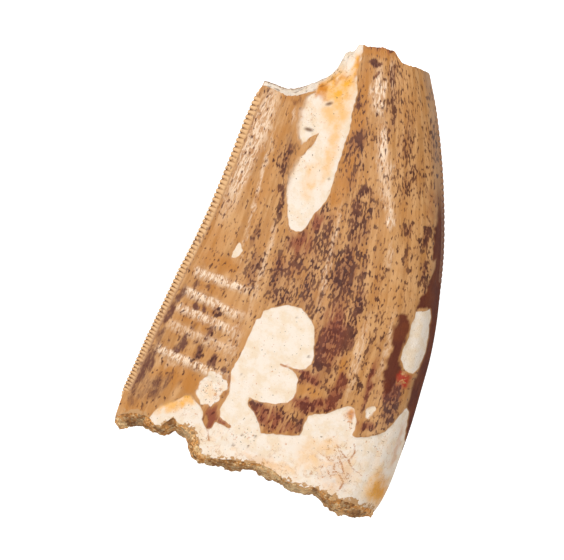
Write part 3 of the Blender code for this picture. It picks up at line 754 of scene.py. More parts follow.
MARKS = (
    Zone(-1.2, 17.65, 0.62, 0.26, 0, 1.0), Zone(0.3, 21.1, 0.22, 0.52, 62, 1.0),
    Zone(2.5, 12.75, 0.17, 0.17, 0, 0.8), Zone(5.5, -7.45, 0.17, 0.17, 0, 0.8),
    Zone(-0.2, -19.4, 0.2, 0.15, 0, 0.8), Zone(2.0, -17.8, 0.22, 0.16, 0, 0.8),
    Zone(3.05, -3.5, 0.15, 0.15, 0, 0.5), Zone(0.5, -18.0, 0.22, 0.14, 0, 0.6),
    Zone(1.5, -19.1, 0.16, 0.16, 0, 0.7), Zone(-1.4, -11.4, 0.12, 0.15, 0, 0.5),
    Zone(0.55, 26.0, 0.25, 0.7, 25, 0.9),
)
RED = (Zone(16.7, -7.4, 0.75, 1.0, 0, 1.0), Zone(16.2, -6.8, 0.5, 0.5, 0, 0.9))
CHESTNUT_BAND = (
    (14.2, -0.2), (15.2, 0.0), (15.7, -1.2), (15.75, -2.5), (15.6, -4.2), (15.7, -5.6), (16.1, -6.4),
    (15.9, -7.6), (15.3, -9.2), (14.6, -8.6), (14.2, -7.0), (14.3, -4.5), (14.0, -2.5),
)
CHESTNUT_STRIP = (
    (15.3, 15.5), (15.75, 12.0), (15.7, 10.0), (15.9, 8.0), (16.3, 7.1), (17.1, 7.4), (16.7, 5.5),
    (16.4, 3.5), (15.8, 1.8), (15.8, 0.7), (16.9, 0.9), (17.6, 1.3), (18.0, 0.2), (18.3, -1.6),
    (18.45, -3.2), (18.2, -5.2), (18.2, -8.0), (18.35, -11.0), (18.55, -14.5), (20.5, -14.5), (20.5, 0.0),
    (19.0, 8.0), (17.0, 14.0),
)
CRACKS = (
    ((11.2, -16.4), (12.2, -17.3), (13.0, -17.8), (13.8, -18.6)),
    ((11.6, -17.6), (12.4, -18.4), (12.8, -19.2)), ((-3.5, -18.5), (-3.2, -19.2), (-3.0, -19.7)),
    ((12.3, -19.4), (12.9, -20.2), (12.6, -21.2)), ((13.0, -15.9), (13.4, -16.8), (13.2, -17.8)),
    ((13.6, -18.4), (15.2, -19.4)), ((2.6, -9.0), (3.4, -9.05), (4.2, -9.3)),
)


ENAMEL_ZONES = {"rust": RUST, "ochre": OCHRE, "wash": WASH, "pale": WORN_AND_PAINTED_SHEEN, "red": RED}
DENTINE_ZONES = {"yellow": YELLOW, "orange": ORANGE, "pink": PINK, "crazed": CRAZED, "specks": SPECKS}
WORN_BASE = -15.0
WORN_UNEVEN = (Grain(1.8, 2.5, 2.5, 61), Grain(0.3, 0.6, 0.6, 62))
TONE_WANDER_ACROSS = (Grain(0.22, 0.55, 0.8, 71), Grain(0.12, 0.25, 0.4, 72))
TONE_WANDER_ALONG = Grain(0.45, 0.5, 1.1, 73)
TONE_CLOUD = Grain(0.5, 2.4, 5.0, 74)
STAIN_CLUMPS = Grain(1.0, 0.65, 2.6, 75)
FRONT_BORDER = Grain(0.006, 0.8, 0.9, 76)
CRACK_WANDER = (Grain(0.18, 1.6, 1.6, 77), Grain(0.18, 1.6, 1.6, 78))


def line_distance(line: Stations, across: np.ndarray, along: np.ndarray) -> np.ndarray:
    """Least distance from each place to an open line of straight pieces, in millimetres."""
    return np.minimum.reduce([side_distance(side, across, along) for side in zip(line, line[1:])])


class Side(Enum):
    """Which part of the skin a point belongs to."""

    OUTER = 0
    WALL = 1
    INNER = 2


@dataclass
class CrownTones:
    """Tones for the crown's finish, one number for each point of its skin."""

    crown: Crown
    points: np.ndarray
    shares: np.ndarray
    sides: np.ndarray
    even_width: float = 30.0
    inner_offset: float = 25.0
    height_share: float = 0.15

    def on(self, side: Side) -> np.ndarray:
        """Which points are on that part of the skin."""
        return self.sides == side.value

    def broken(self) -> np.ndarray:
        """Which points are on the broken ends."""
        return self.on(Side.WALL) & (self.shares > EDGE_SLACK) & (self.shares < 1 - EDGE_SLACK)

    def place(self) -> np.ndarray:
        """Places for patterns that follow the enamel: the width made even, the inner face moved away."""
        away = self.sides * self.inner_offset + self.height_share * self.points[:, 2]
        return np.stack((self.shares * self.even_width, self.points[:, 1], away), axis=1)

    def bare(self, across: np.ndarray, along: np.ndarray) -> np.ndarray:
        """Signed distance into bare dentine: flakes, broken ends, the worn base of sides and inner face."""
        # Soft ovals shrink the distance and widen the border; along the upper patch's left edge that paints
        # a soft shadow.
        inside = self.crown.lost(across, along)[1] * (1 - 0.88 * toned(SOFT_EDGES_AND_SHADOW, across, along))
        worn = WORN_BASE - along + grains(WORN_UNEVEN, across, along)
        inside = np.where(self.on(Side.INNER), worn, inside)
        inside = np.where(self.on(Side.WALL), np.where(along < WORN_BASE, 1.0, -1.0), inside)
        return np.where(self.broken(), 1.0, inside)

    def every(self) -> dict[str, np.ndarray]:
        """All the tones.

        Ovals and outlines wander by a small random field, so that none shows a drawn edge; the inner face
        has random tones at the outer one's scale.

        Returns:
            Each tone's values under its name.
        """
        across, along = self.points[:, 0], self.points[:, 1]
        outer = self.on(Side.OUTER) | self.on(Side.WALL)
        x = across + grains(TONE_WANDER_ACROSS, across, along)
        y = along + TONE_WANDER_ALONG.at(across, along)
        cloud = 0.5 + TONE_CLOUD.at(across, along)
        ground = 0.17 * between(-4.0, 2.0, across) * cloud
        crowded = between(-0.55, 0.35, STAIN_CLUMPS.at(across, along))
        stain = (1 - (1 - ground) * (1 - toned(STAIN, x, y))) * (0.6 + 0.55 * crowded)
        folds = np.clip(self.crown.folds(across, along), 0, 1)
        strip = [depth_inside(band, x, y) for band in (CHESTNUT_BAND, CHESTNUT_STRIP)]
        ahead = between(0.958, 0.972, self.shares + FRONT_BORDER.at(across, along))
        ahead = ahead * between(-16.5, -15.0, along) * between(17.0, 11.0, along)
        ahead = ahead * between(0.0, 1.2, self.points[:, 2])
        chestnut = np.maximum(between(-0.16, 0.16, np.maximum(*strip)), ahead)
        strayed = [way + wander.at(across, along) for way, wander in zip((across, along), CRACK_WANDER)]
        cracks = np.maximum.reduce([hump(line_distance(line, *strayed), 0.35) for line in CRACKS])
        base = self.crown.broken(BASE_BREAK, np.clip(self.shares, 0, 1))
        tones = {name: toned(zones, x, y) for name, zones in (ENAMEL_ZONES | DENTINE_ZONES).items()}
        tones |= {
            "stain": stain,
            # Painted highlight: the brows of the folds are painted pale, and the wash is thinned on them.
            "wash": tones["wash"] * (1 - 0.5 * folds),
            "pale": np.maximum(tones["pale"], folds),
            "chestnut": chestnut,
            "marks": np.where(self.broken(), 0.0, toned(MARKS, across, along)),
            "cracks": cracks,
            "sand": np.maximum(toned(SAND, x, y), (1 - between(0.05, 0.55, y - base)) * 0.7),
        }
        plain = {"stain": 0.15 + 0.7 * cloud ** 2, "ochre": cloud * 0.5, "pale": 0.5 * (1 - cloud)}
        values = {name: np.where(outer, tone, plain.get(name, 0.0 * tone)) for name, tone in tones.items()}
        below = self.crown.outer(np.clip(self.shares, 0, 1), along) - self.points[:, 2]
        kept = 1 - self.broken() * between(0.4, 2.4, below)
        for name in DENTINE_ZONES:
            values[name] = values[name] * kept
        values["broken"] = self.broken().astype(float)
        values["bare"] = self.bare(across, along)
        values["place"] = self.place()
        return values


def facing_out(points: np.ndarray, faces: list[np.ndarray]) -> list[np.ndarray]:
    """Turn the faces of a closed skin outwards, going by the sign of its volume.

    The volume is the sum of the tetrahedra from the middle of the points to each face's triangle fan.

    Args:
        points: places of the points.
        faces: blocks of faces, each block with one number of corners.

    Returns:
        The blocks, turned round where the volume came out negative.
    """
    local = points - points.mean(axis=0)
    volume = 0.0
    for block in faces:
        first = local[block[:, 0]]
        for step in range(1, block.shape[1] - 1):
            second, third = local[block[:, step]], local[block[:, step + 1]]
            volume += float(np.einsum("ij,ij->", first, np.cross(second, third)))
    return faces if volume > 0 else [block[:, ::-1] for block in faces]


def tube(sections: np.ndarray) -> tuple[np.ndarray, list[np.ndarray]]:
    """Closed skin through a row of closed sections, with a point in the middle of each end.

    Args:
        sections: places, sections by points by three.

    Returns:
        The points, and the blocks of faces, facing outwards.
    """
    count, round_it = sections.shape[:2]
    index = np.arange(count * round_it).reshape(count, round_it)
    closed = np.hstack((index, index[:, :1]))
    middles = sections[[0, -1]].mean(axis=1)
    points = np.concatenate((sections.reshape(-1, 3), middles))
    faces = [grid_faces(closed)]
    for end, middle, order in ((0, index.size, 1), (-1, index.size + 1, -1)):
        loop = closed[end]
        fan = np.stack((np.full(round_it, middle), loop[1:], loop[:-1]), axis=1)
        faces.append(fan[:, ::order])
    return points, facing_out(points, faces)


TOOTH_SIZES = Grain(0.18, 1.0, 1.0, 81)
AGE_WANDER = Grain(0.8, 1.5, 1.0, 82)


@dataclass
class SawEdge:
    """One saw edge: a comb of rounded teeth folded over the crown's edge. Sizes are in millimetres."""

    name: str
    crown: Crown
    edge: Stations
    toward: int
    span: tuple[float, float]
    pitch: Stations
    lean: Stations
    reach: float
    root: float
    relief: float
    notch: float
    fading: float
    aged: tuple[float, float]
    samples: int = 10
    wraps: int = 9
    lift: float = 0.035
    sunk_root: float = 0.16
    sunk_end: float = 0.2
    sharp: float = 50.0

    def teeth(self) -> tuple[np.ndarray, np.ndarray]:
        """Where the comb is sampled along the edge.

        The count of teeth passed is the running sum of length over pitch, read at even steps.

        Returns:
            Places along, and how many teeth lie before each.
        """
        along = np.linspace(*self.span, FINE_STEPS)
        passed = np.concatenate(([0], np.cumsum(np.diff(along) / curve_through(self.pitch, along[1:]))))
        count = int(passed[-1])
        at = np.linspace(0, count, count * self.samples + 1)
        return np.interp(at, passed, along), at

    def section(self) -> tuple[np.ndarray, np.ndarray, np.ndarray]:
        """Sections of the comb.

        Each goes from its root on the outer face over the edge to its root on the inner face. A tooth is
        |cos|^0.6 of its phase, so that it is rounded with a sharp groove on each side. It reaches out past
        the edge by that, and stands on the faces by that times a fade towards its root. Each tooth's size
        wanders a little by a random field.

        Returns:
            Places, how far each point is from the teeth's tips as a share, and how deep it is in a groove.
        """
        along, at = self.teeth()
        turn = np.concatenate((np.linspace(1, 0, self.wraps), np.linspace(0, 1, self.wraps)[1:]))[None, :]
        outer = (np.arange(turn.size) < self.wraps)[None, :]
        inward = (self.root + self.reach) * turn ** 1.2
        tooth = np.abs(np.cos(np.pi * (at + 0.5))) ** 0.6
        tooth = (tooth * (1 + TOOTH_SIZES.at(at, 0 * at)))[:, None]
        ends = ease(at / self.fading) * ease((at[-1] - at) / self.fading)
        inset = np.maximum(inward - self.reach, 0)
        beyond = np.clip(1 - inward / self.reach, 0, 1)
        lean = np.tan(np.radians(curve_through(self.lean, along)))[:, None]
        row = along[:, None] - inset * lean
        line = curve_through(self.edge, row)
        out = self.reach * beyond ** 0.8 * (1 - self.notch + self.notch * tooth) * ends[:, None] ** 0.3
        across = line + self.toward * (out - inset)
        width = curve_through(FRONT_EDGE, row) - curve_through(REAR_EDGE, row)
        share = inset / width if self.toward < 0 else 1 - inset / width
        thick = self.crown.edge(share, row) * np.sqrt(np.clip(1 - 0.85 * beyond ** 2, 0, 1))
        level = curve_through(EDGE_LEVEL, row)
        top = np.where(inset > 0, self.crown.outer(share, row), level + thick)
        low = np.where(inset > 0, self.crown.inner(share, row), level - thick)
        fade = (1 - between(0.25, 0.95, turn)) * ends[:, None]
        sunk = self.sunk_root * between(0.75, 1.0, turn) + self.sunk_end * (1 - ends[:, None])
        stand = self.relief * (2 * tooth - 1) * fade + self.lift - sunk
        height = np.where(outer, top + stand, low - stand)
        groove = (1 - np.clip(tooth, 0, 1)) * fade + 0 * turn
        return np.stack((across, row, height), axis=-1), turn + 0 * tooth, groove

    def build(self, material: bpy.types.Material) -> bpy.types.Object:
        """Make the comb and hang it on the root body.

        Args:
            material: the finish of the saw edges.

        Returns:
            The piece.
        """
        sections, turn, groove = self.section()
        points, faces = tube(sections)
        along = points[:, 1]
        tones = {
            "turn": np.concatenate((turn.ravel(), [1.0, 1.0])),
            "groove": np.concatenate((groove.ravel(), [0.0, 0.0])),
            "aged": between(*self.aged, along + AGE_WANDER.at(along, 0 * along)),
            "place": np.stack((points[:, 0] - self.toward * 40, along, points[:, 2]), axis=1),
        }
        piece = Skin(points, faces, tones).build(self.name, material, self.sharp)
        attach(piece, "root")
        return piece


CRUST_EDGE = (
    (-14.2, -20.3), (-13.3, -21.0), (-12.4, -20.5), (-11.5, -20.2), (-8.5, -20.4), (-7.7, -20.1),
    (-7.0, -19.5), (-5.6, -20.4), (-4.9, -21.7), (-4.3, -22.4), (-3.5, -22.7), (-1.0, -22.3), (0.4, -22.6),
    (1.6, -21.9), (2.5, -21.8), (4.5, -22.2), (6.5, -22.4), (8.5, -22.8), (10.5, -22.7), (11.7, -23.6),
    (12.4, -24.0), (13.5, -24.2), (15.1, -24.1), (16.0, -23.6), (16.8, -23.4),
)
DARK_CRUST = (
    Zone(-12.0, -19.9, 1.8, 0.9, 0, 0.9), Zone(-7.7, -18.8, 0.6, 0.9, 0, 1.0),
    Zone(-8.8, -20.0, 0.7, 0.4, 0, 0.5), Zone(-0.5, -22.0, 3.2, 0.7, 0, 0.5),
    Zone(15.3, -23.4, 1.0, 0.8, 0, 0.9), Zone(12.0, -22.9, 1.2, 0.4, 0, 0.5),
    Zone(10.1, -21.8, 0.4, 0.6, 0, 0.9), Zone(3.4, -21.6, 0.5, 0.4, 0, 0.4),
)
LIGHT_CRUST = (
    Zone(-5.6, -19.6, 1.2, 0.7, 0, 0.6), Zone(8.0, -22.4, 2.0, 0.6, 0, 0.7),
    Zone(4.0, -21.6, 2.2, 0.6, 0, 0.3), Zone(13.4, -23.9, 1.2, 0.4, 0, 0.5),
    Zone(-13.6, -20.6, 0.5, 0.4, 0, 0.5),
)


CRUST_LUMPS = (Grain(0.24, 0.9, 1 / 7, 91), Grain(0.2, 0.42, 1 / 15, 92), Grain(0.1, 0.17, 1 / 38, 93))
CRUST_WOBBLE = Grain(0.12, 0.3, 1 / 20, 94)


@dataclass
class Crust:
    """Sandstone on the broken base: a lumpy roll of grains along it. Sizes are in millimetres."""

    crown: Crown
    lengths: int = 420
    rounds: int = 72
    front_share: float = 0.7
    bed: float = 0.25
    lip: float = 0.12
    thinnest: float = 0.35
    grain_room: float = 0.3
    floor: float = 0.02
    span: tuple[float, float] = (0.004, 0.996)
    rough_along: float = 0.8
    rough_up: float = 0.9
    sharp: float = 60.0

    def sections(self) -> np.ndarray:
        """Sections of the crust.

        The front goes from the outer face's broken edge down to the inner face's, and swells out to the
        crust's edge by a power of a sine. The back runs straight up again a little inside the tooth. Lumps
        and grains are random fields that push the front out and along.

        Returns:
            Places, sections by points by three.
        """
        share = np.linspace(*self.span, self.lengths)[:, None]
        turn = (np.arange(self.rounds) / self.rounds)[None, :]
        front = turn < self.front_share
        down = np.where(front, turn / self.front_share, (1 - turn) / (1 - self.front_share))
        bed = self.crown.point(share, np.full(1, self.crown.base_row), down)
        top = self.crown.point(share, np.full(1, self.crown.base_row), np.zeros(1))
        across = top[..., 0] + 0 * down
        order = np.argsort([place for place, _ in CRUST_EDGE])
        places, lows = np.array(CRUST_EDGE, dtype=float)[order].T
        reach = np.maximum(self.thinnest, top[..., 1] - np.interp(across, places, lows) - self.grain_room)
        swell = np.sin(np.pi * np.clip(down, 0, 1) ** 0.62) ** 0.75
        rough = np.where(front, grains(CRUST_LUMPS, across, down), 0.0) * between(0.0, 0.08, down)
        along = bed[..., 1] + np.where(front, -reach * swell, self.bed) + rough * self.rough_along
        sink = self.lip * between(0.3, 0.0, down) * front
        height = bed[..., 2] - sink + rough * self.rough_up * front
        height = np.maximum(height, self.floor)
        wobble = CRUST_WOBBLE.at(across, down) * front
        return np.stack((across + wobble, along, height), axis=-1)

    def build(self, material: bpy.types.Material) -> bpy.types.Object:
        """Make the crust, hang it on the root body and hide the imported sandstone.

        Args:
            material: the finish of the sandstone.

        Returns:
            The piece.
        """
        points, faces = tube(self.sections())
        x, y = points[:, 0], points[:, 1]
        tones = {"dark": toned(DARK_CRUST, x, y), "light": toned(LIGHT_CRUST, x, y)}
        piece = Skin(points, faces, tones).build("sandstone_crust", material, self.sharp)
        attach(piece, "root")
        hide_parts("sandstone_matrix")
        return piece


# Finishes

Colour = tuple[float, float, float]
Feed = Union[bpy.types.NodeSocket, float, Sequence[float]]


def paint(red: int, green: int, blue: int) -> Colour:
    """Colour for a shader from the 0 to 255 numbers of a screen colour, by the screen's curve."""
    return tuple(
        share / 12.92 if share <= 0.04045 else ((share + 0.055) / 1.055) ** 2.4
        for share in (channel / 255 for channel in (red, green, blue))
    )


class Wiring:
    """Nodes of one material or group, made and joined in few words."""

    def __init__(self, tree: bpy.types.NodeTree) -> None:
        """Start on an empty or fresh tree."""
        self.tree = tree

    def feed(self, socket: bpy.types.NodeSocket, value: Feed) -> None:
        """Join another node's socket to this one, or set its number or colour."""
        if isinstance(value, bpy.types.NodeSocket):
            self.tree.links.new(value, socket)
        elif socket.type == "RGBA" and len(value) == 3:
            socket.default_value = (*value, 1.0)
        else:
            socket.default_value = value

    def node(self, kind: str, inputs: dict | None = None, **settings: object) -> bpy.types.Node:
        """Make a node.

        Args:
            kind: its type without the leading "ShaderNode".
            inputs: values or sockets for its inputs, by name or number.
            settings: its own settings.

        Returns:
            The node.
        """
        made = self.tree.nodes.new(f"ShaderNode{kind}")
        for name, value in settings.items():
            setattr(made, name, value)
        for name, value in (inputs or {}).items():
            self.feed(made.inputs[name], value)
        return made

    def tone(self, name: str) -> bpy.types.NodeSocket:
        """A tone that the mesh carries, as a number."""
        return self.node("Attribute", attribute_name=name).outputs["Fac"]

    def sums(self, kind: str, *values: Feed) -> bpy.types.NodeSocket:
        """Arithmetic on one to three numbers."""
        return self.node("Math", dict(enumerate(values)), operation=kind).outputs[0]

    def times(self, first: Feed, second: Feed) -> bpy.types.NodeSocket:
        """Product of two numbers."""
        return self.sums("MULTIPLY", first, second)

    def plus(self, first: Feed, second: Feed) -> bpy.types.NodeSocket:
        """Sum of two numbers."""
        return self.sums("ADD", first, second)

    def minus(self, first: Feed, second: Feed) -> bpy.types.NodeSocket:
        """First number less the second."""
        return self.sums("SUBTRACT", first, second)

    def times_plus(self, first: Feed, second: Feed, third: Feed) -> bpy.types.NodeSocket:
        """Product of the first two numbers, plus the third."""
        return self.sums("MULTIPLY_ADD", first, second, third)

    def rise(self, value: Feed, low: Feed, high: Feed, top: float = 1.0) -> bpy.types.NodeSocket:
        """Eased rise from 0 to the top as a value goes from low to high."""
        inputs = {"Value": value, "From Min": low, "From Max": high, "To Max": top}
        return self.node("MapRange", inputs, interpolation_type="SMOOTHSTEP").outputs[0]

    def blend(self, share: Feed, first: Feed, second: Feed) -> bpy.types.NodeSocket:
        """Colour between two colours."""
        inputs = {0: share, 6: first, 7: second}
        return self.node("Mix", inputs, data_type="RGBA").outputs[2]

    def coats(self, ground: Feed, *coats: tuple[Feed, Feed]) -> Feed:
        """Ground colour under coats of others, each laid on by its share."""
        for share, coat in coats:
            ground = self.blend(share, ground, coat)
        return ground

    def bump(self, height: Feed, distance: float, strength: Feed, over: Feed | None = None) -> Feed:
        """Normal of a relief that is a distance high in metres, over another normal where one is given."""
        inputs = {"Height": height, "Distance": distance, "Strength": strength}
        if over is not None:
            inputs["Normal"] = over
        return self.node("Bump", inputs).outputs["Normal"]

    def stretched(self, vector: Feed, scale: tuple[float, float, float]) -> bpy.types.NodeSocket:
        """Places multiplied by a scale for each axis."""
        inputs = {0: vector, 1: scale}
        return self.node("VectorMath", inputs, operation="MULTIPLY").outputs[0]

    def millimetres(self) -> bpy.types.NodeSocket:
        """Places in the piece's own space, in millimetres."""
        return self.stretched(self.node("TexCoord").outputs["Object"], (1 / MM, 1 / MM, 1 / MM))

    def cloud(self, vector: Feed, scale: float, detail: float = 2.0, rough: float = 0.5,
              twist: float = 0.0) -> bpy.types.NodeSocket:
        """Smooth noise from 0 to 1 about 0.5."""
        inputs = {"Vector": vector, "Scale": scale, "Detail": detail, "Roughness": rough}
        return self.node("TexNoise", inputs | {"Distortion": twist}).outputs["Fac"]

    def group(self, tree: bpy.types.NodeTree, **inputs: Feed) -> bpy.types.Node:
        """Place a shared group."""
        return self.node("Group", inputs, node_tree=tree)


def new_group(name: str, inputs: dict[str, str], outputs: dict[str, str]) -> tuple[Wiring, dict, dict]:
    """Start a shared group of nodes.

    Args:
        name: the group's name.
        inputs: socket types by name.
        outputs: socket types by name.

    Returns:
        Its wiring, what comes in by name, and the sockets that go out by name.
    """
    tree = bpy.data.node_groups.new(name, "ShaderNodeTree")
    for sockets, direction in ((inputs, "INPUT"), (outputs, "OUTPUT")):
        for socket, kind in sockets.items():
            tree.interface.new_socket(socket, in_out=direction, socket_type=f"NodeSocket{kind}")
    came = tree.nodes.new("NodeGroupInput").outputs
    goes = tree.nodes.new("NodeGroupOutput").inputs
    return Wiring(tree), {name: came[name] for name in inputs}, {name: goes[name] for name in outputs}


def make_mottle() -> bpy.types.NodeTree:
    """Shared group: mottling in small branching specks, drawn out along the tooth.

    Three sizes of noise are added and cut at a level that falls as the density rises, so that specks grow
    and run together. The halo is the same cut a little lower and softer.

    Returns:
        The group, with Vector and Density in, and Mask and Halo out.
    """
    wiring, came, goes = new_group(
        "mottle", {"Vector": "Vector", "Density": "Float"}, {"Mask": "Float", "Halo": "Float"}
    )
    long_way = wiring.stretched(came["Vector"], (1.0, 0.42, 1.0))
    fine = wiring.cloud(long_way, 4.0, 0.0)
    finer = wiring.cloud(long_way, 8.0, 1.0, 0.5)
    coarse = wiring.cloud(long_way, 1.2, 1.0, 0.5)
    mixed = wiring.times_plus(fine, 0.5, wiring.times(finer, 0.3))
    mixed = wiring.times_plus(coarse, 0.2, mixed)
    level = wiring.times_plus(came["Density"], -0.22, 0.625)
    low, high = wiring.minus(level, 0.03), wiring.plus(level, 0.04)
    wiring.feed(goes["Mask"], wiring.rise(mixed, low, high))
    wiring.feed(goes["Halo"], wiring.rise(mixed, wiring.minus(level, 0.09), high))
    return wiring.tree


def make_striae() -> bpy.types.NodeTree:
    """Shared group: fine lines along the tooth, from noise drawn out lengthwise at two sizes.

    Returns:
        The group, with Vector in, and Tone and Height out.
    """
    wiring, came, goes = new_group("striae", {"Vector": "Vector"}, {"Tone": "Float", "Height": "Float"})
    broad = wiring.cloud(wiring.stretched(came["Vector"], (1.0, 0.09, 1.0)), 1.3, 3.0, 0.55, 0.2)
    thin = wiring.cloud(wiring.stretched(came["Vector"], (1.0, 0.16, 1.0)), 5.5, 2.0, 0.6, 0.3)
    wiring.feed(goes["Tone"], wiring.rise(broad, 0.36, 0.64))
    wiring.feed(goes["Height"], wiring.times_plus(thin, 0.6, wiring.times(broad, 0.4)))
    return wiring.tree


def make_grit() -> bpy.types.NodeTree:
    """Shared group: grains of different size and tone packed together, from cells of a lattice.

    Returns:
        The group, with Vector and Size in, and Tone, Gap and Height out.
    """
    wiring, came, goes = new_group(
        "grit", {"Vector": "Vector", "Size": "Float"}, {"Tone": "Float", "Gap": "Float", "Height": "Float"}
    )
    scale = wiring.sums("DIVIDE", 1.0, came["Size"])
    cells = wiring.node("TexVoronoi", {"Vector": came["Vector"], "Scale": scale})
    edges = wiring.node(
        "TexVoronoi", {"Vector": came["Vector"], "Scale": scale}, feature="DISTANCE_TO_EDGE"
    )
    split = wiring.node("SeparateColor", {0: cells.outputs["Color"]})
    wiring.feed(goes["Tone"], split.outputs[0])
    wiring.feed(goes["Gap"], wiring.rise(edges.outputs["Distance"], 0.12, 0.0))
    wiring.feed(goes["Height"], wiring.minus(1.0, cells.outputs["Distance"]))
    return wiring.tree


def new_material(name: str) -> tuple[bpy.types.Material, Wiring, bpy.types.Node]:
    """Start a material; gives it, its wiring and its shader."""
    material = bpy.data.materials.new(name)
    material.use_nodes = True
    return material, Wiring(material.node_tree), material.node_tree.nodes["Principled BSDF"]


